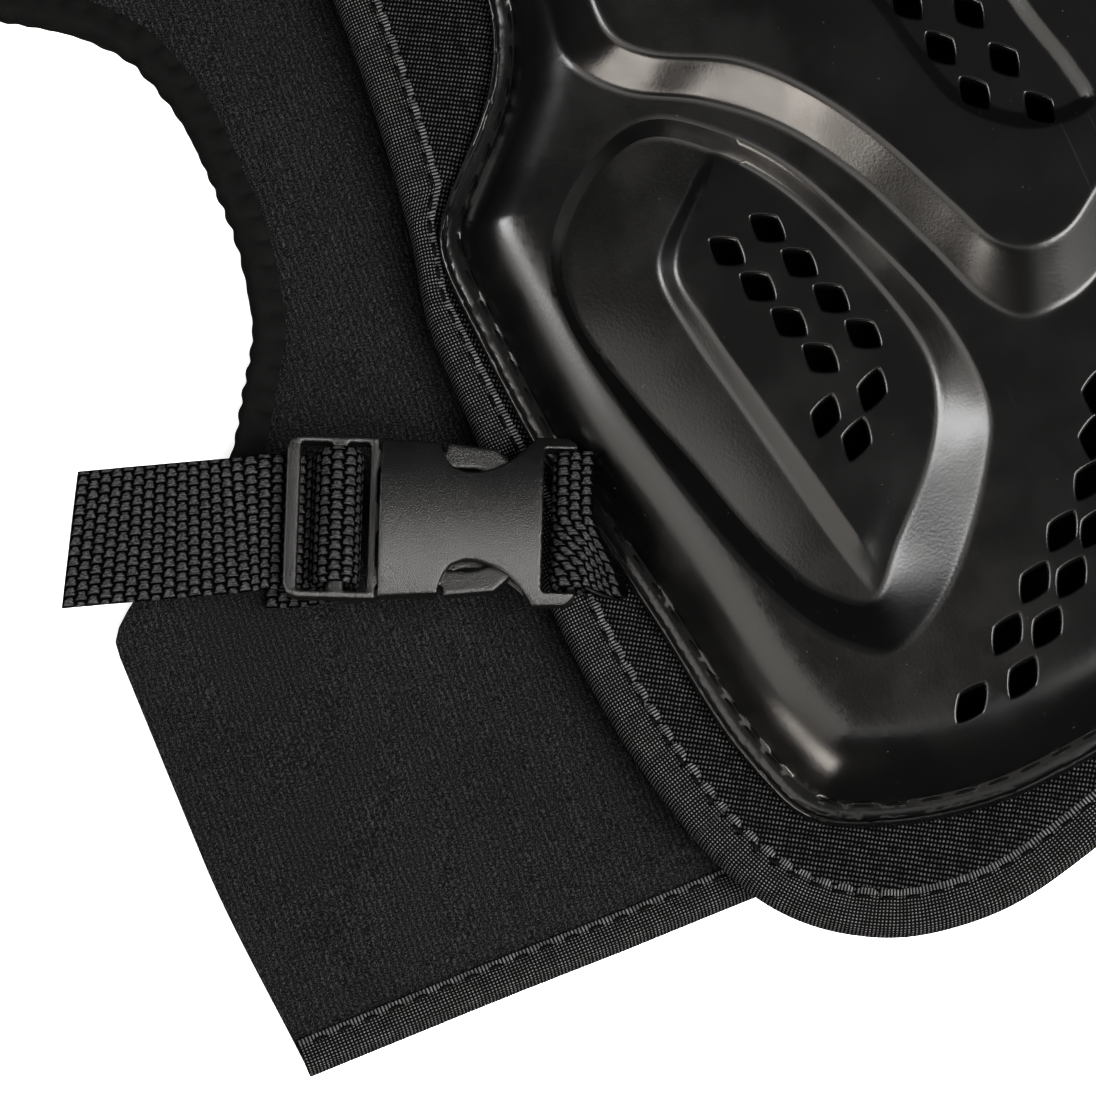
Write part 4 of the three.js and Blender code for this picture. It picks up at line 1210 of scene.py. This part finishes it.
def smooth_crown(mesh, hand):
    """Points near the crown of a socket moved onto its cylinder, less so the further they are from it."""
    spots = np.zeros(len(mesh.vertices) * 3, np.float32)
    mesh.vertices.foreach_get("co", spots)
    spots = spots.reshape(-1, 3).astype(float) * 1000 + (0, MIDDLE_Y, 0)
    cross = np.array([-hand * np.sin(BUCKLE_TURN), np.cos(BUCKLE_TURN), 0])
    wide = (spots - (hand * BUCKLE_X, BUCKLE_Y, 0)) @ cross
    over = spots[:, 2] - BUCKLE_Z
    crown = SOCKET_HALF - SOCKET_CROWN + np.sqrt(np.clip(SOCKET_CROWN ** 2 - wide ** 2, 0, None))
    gap = crown - over
    spots[:, 2] += gap * (1 - ease((np.abs(gap) - CROWN_NEAR) / CROWN_FADE))
    placed = (spots - (0, MIDDLE_Y, 0)) / 1000
    mesh.vertices.foreach_set("co", placed.astype(np.float32).ravel())
    mesh.update()


def moulded_copy(hand, name, piece_name):
    """Moulded solid: the CAD piece merged, remeshed in small cells and smoothed, which rounds its edges."""
    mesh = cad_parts[name].data.copy()
    work = bmesh.new()
    work.from_mesh(mesh)
    bmesh.ops.remove_doubles(work, verts=work.verts, dist=1e-6)
    work.to_mesh(mesh)
    work.free()
    mesh.materials.clear()
    mesh.materials.append(buckle_black)
    piece = bpy.data.objects.new(piece_name, mesh)
    bpy.context.scene.collection.objects.link(piece)
    remesh = piece.modifiers.new("cells", "REMESH")
    remesh.mode = "VOXEL"
    remesh.voxel_size = MOULD_CELL / 1000
    remesh.use_smooth_shade = True
    rounding = piece.modifiers.new("rounding", "SMOOTH")
    rounding.factor = 0.5
    rounding.iterations = MOULD_ROUNDS
    made = bpy.data.meshes.new_from_object(piece.evaluated_get(bpy.context.evaluated_depsgraph_get()))
    piece.modifiers.clear()
    piece.data = made
    smooth_crown(made, hand)
    made.shade_smooth()
    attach(piece, "root")
    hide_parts(name)
    return piece


def shoulder_band(hand):
    """Padded band over one shoulder: a sheet bowed from under the front panel to the back panel."""
    x = np.linspace(SHOULDER_IN, SHOULDER_OUT, SHOULDER_ACROSS)
    under = FRONT_HALF_THICK + TAPE_CLOTH + SHOULDER_HALF_THICK + SHOULDER_GAP
    high = front_height(x, np.full(SHOULDER_ACROSS, SHOULDER_Y + SHOULDER_STOPS[2])) - under
    low = np.full(SHOULDER_ACROSS, 2 * BACK_HALF_THICK + SHOULDER_HALF_THICK + 1)
    stops = np.array(SHOULDER_STOPS) + SHOULDER_Y
    level = np.stack([high, high, high, (high + low) / 2, low, low, low], axis=-1)
    lines = []
    for row in level:
        line = spline(np.stack([stops, row], axis=-1), False, 16)
        dense = even_line(line, 0.5, False)
        lines.append(dense[np.round(np.linspace(0, len(dense) - 1, SHOULDER_ALONG)).astype(int)])
    path = np.stack(lines)
    way = unit(np.gradient(path, axis=1))
    x = np.broadcast_to(x[:, None], path.shape[:2])
    edge = np.minimum(x - SHOULDER_IN, SHOULDER_OUT - x)
    half = SHOULDER_HALF_THICK - (SHOULDER_HALF_THICK - SHOULDER_EDGE_HALF) * np.exp(-edge / 1.5)
    skins = []
    for side in (1, -1):
        y = path[..., 0] - way[..., 1] * half * side
        z = path[..., 1] + way[..., 0] * half * side
        skins.append(np.stack([hand * x, y, z], axis=-1))
    return shell(skins[0], skins[1])


# Webbing: path, whether it is the tab, name of the piece and of the CAD node that it stands for
WEB_PIECES = (
    (STRAP_PATH, False, "strap_webbing_", "side_strap_"),
    (TAB_PATH, True, "tab_webbing_", "buckle_tab_"),
)
for hand, name in HANDS:
    for rows, tab, kind, cad_kind in WEB_PIECES:
        spots, faces, uv = webbing(hand, rows, tab)
        add_piece(kind + name, spots, faces, web_black, [cad_kind + name], uv, CLOTH_SHARP)
    moulded_copy(hand, "buckle_plug_" + name, "moulded_plug_" + name)
    moulded_copy(hand, "buckle_socket_" + name, "moulded_socket_" + name)
    spots, faces = shoulder_band(hand)
    cad_node = "shoulder_strap_" + name
    band = add_piece("shoulder_band_" + name, spots, faces, mesh_black, [cad_node])

# Camera at the photograph's angle: 74 degrees up, from the wearer's lower right
IMAGE = 1096
SENSOR = 36
FOCAL_PIXELS = 6160
AZIMUTH = np.radians(-22.6)
ELEVATION = np.radians(74)
DISTANCE = 1.1
target = np.array([-124.57, -MIDDLE_Y, 20]) / 1000
back = np.array([
    np.sin(AZIMUTH) * np.cos(ELEVATION), -np.cos(AZIMUTH) * np.cos(ELEVATION), np.sin(ELEVATION),
])
right = np.array([np.cos(AZIMUTH), np.sin(AZIMUTH), 0])
lens = bpy.data.cameras.new("photo_camera")
lens.sensor_width = SENSOR
lens.lens = FOCAL_PIXELS / IMAGE * SENSOR
lens.clip_end = 20
camera = bpy.data.objects.new("photo_camera", lens)
turn = Matrix([right, np.cross(back, right), back]).transposed()
camera.matrix_world = Matrix.Translation(target + DISTANCE * back) @ turn.to_4x4()
bpy.context.scene.collection.objects.link(camera)
bpy.context.scene.camera = camera

# Floor: a white sheet of card, half a millimetre under the vest
FLOOR_REACH = 6
FLOOR_GAP = 0.0005
floor_white, floor_shader = new_material("white_card", "f4f4f4", {
    "Roughness": 0.9, "Specular IOR Level": 0.1, "Emission Color": srgb("ffffff"), "Emission Strength": 0.6,
})
fibre = node(floor_shader.id_data, "ShaderNodeTexNoise", {"Scale": 40, "Detail": 3}).outputs["Fac"]
tone(floor_shader, "f0f0f0", "f8f8f8", fibre)
floor_mesh = bpy.data.meshes.new("floor")
corners = [(x * FLOOR_REACH, y * FLOOR_REACH, -FLOOR_GAP) for x, y in ((-1, -1), (1, -1), (1, 1), (-1, 1))]
floor_mesh.from_pydata(corners, [], [(0, 1, 2, 3)])
floor_mesh.materials.append(floor_white)
floor = bpy.data.objects.new("floor", floor_mesh)
floor.visible_glossy = False
bpy.context.scene.collection.objects.link(floor)

# Soft boxes round the vest, as seen from it: angle from the camera's foot towards its left, middle height,
# width and height in degrees, colour and radiance. The two key lights stay out of the gloss, and dimmer cards
# in the same place show there instead.
SOFT_BOXES = table(
    "turn rise wide tall color radiance in_gloss",
    (-55, 48, 48, 44, "fffcf8", 13, False),
    (-55, 48, 48, 44, "fffcf8", 2.2, True),
    (-42, 64, 40, 20, "fffcf8", 26, False),
    (-42, 64, 40, 20, "fffcf8", 14, True),
    (95, 27, 11, 17, "ffffff", 16, True),
    (48, 1, 26, 14, "fff6ec", 13, True),
    (76, 32, 28, 42, "fff8f0", 2.1, True),
    (25, 56, 40, 14, "ffffff", 0.8, True),
    (180, 84, 60, 60, "ffffff", 0.12, True),
)
BOX_DISTANCE = 1.8
KEY_DISTANCE = 1.02 * BOX_DISTANCE
WORLD_STRENGTH = 0.03
LIT_MIDDLE = Vector((-0.08, -0.06, 0.03))
foot = np.array([np.sin(AZIMUTH), -np.cos(AZIMUTH), 0])
for i, box in enumerate(SOFT_BOXES):
    angle = np.radians(box["turn"])
    rise = np.radians(box["rise"])
    level = np.cos(angle) * foot - np.sin(angle) * right
    way = Vector(level * np.cos(rise) + np.array([0, 0, np.sin(rise)]))
    light = bpy.data.lights.new("soft_box_%d" % i, "AREA")
    light.shape = "RECTANGLE"
    light.size = 2 * BOX_DISTANCE * np.tan(np.radians(box["wide"] / 2))
    light.size_y = 2 * BOX_DISTANCE * np.tan(np.radians(box["tall"] / 2))
    light.energy = box["radiance"] * np.pi * light.size * light.size_y
    light.color = srgb(box["color"])[:3]
    lamp = bpy.data.objects.new("soft_box_%d" % i, light)
    aim = (-way).to_track_quat("-Z", "Y").to_matrix().to_4x4()
    lamp.visible_glossy = box["in_gloss"]
    reach = BOX_DISTANCE if box["in_gloss"] else KEY_DISTANCE
    lamp.matrix_world = Matrix.Translation(LIT_MIDDLE + way * reach) @ aim
    bpy.context.scene.collection.objects.link(lamp)

world = bpy.data.worlds.new("studio")
world.use_nodes = True
world.node_tree.nodes["Background"].inputs["Color"].default_value = srgb("ffffff")
world.node_tree.nodes["Background"].inputs["Strength"].default_value = WORLD_STRENGTH
bpy.context.scene.world = world
bpy.context.scene.view_settings.view_transform = "Standard"
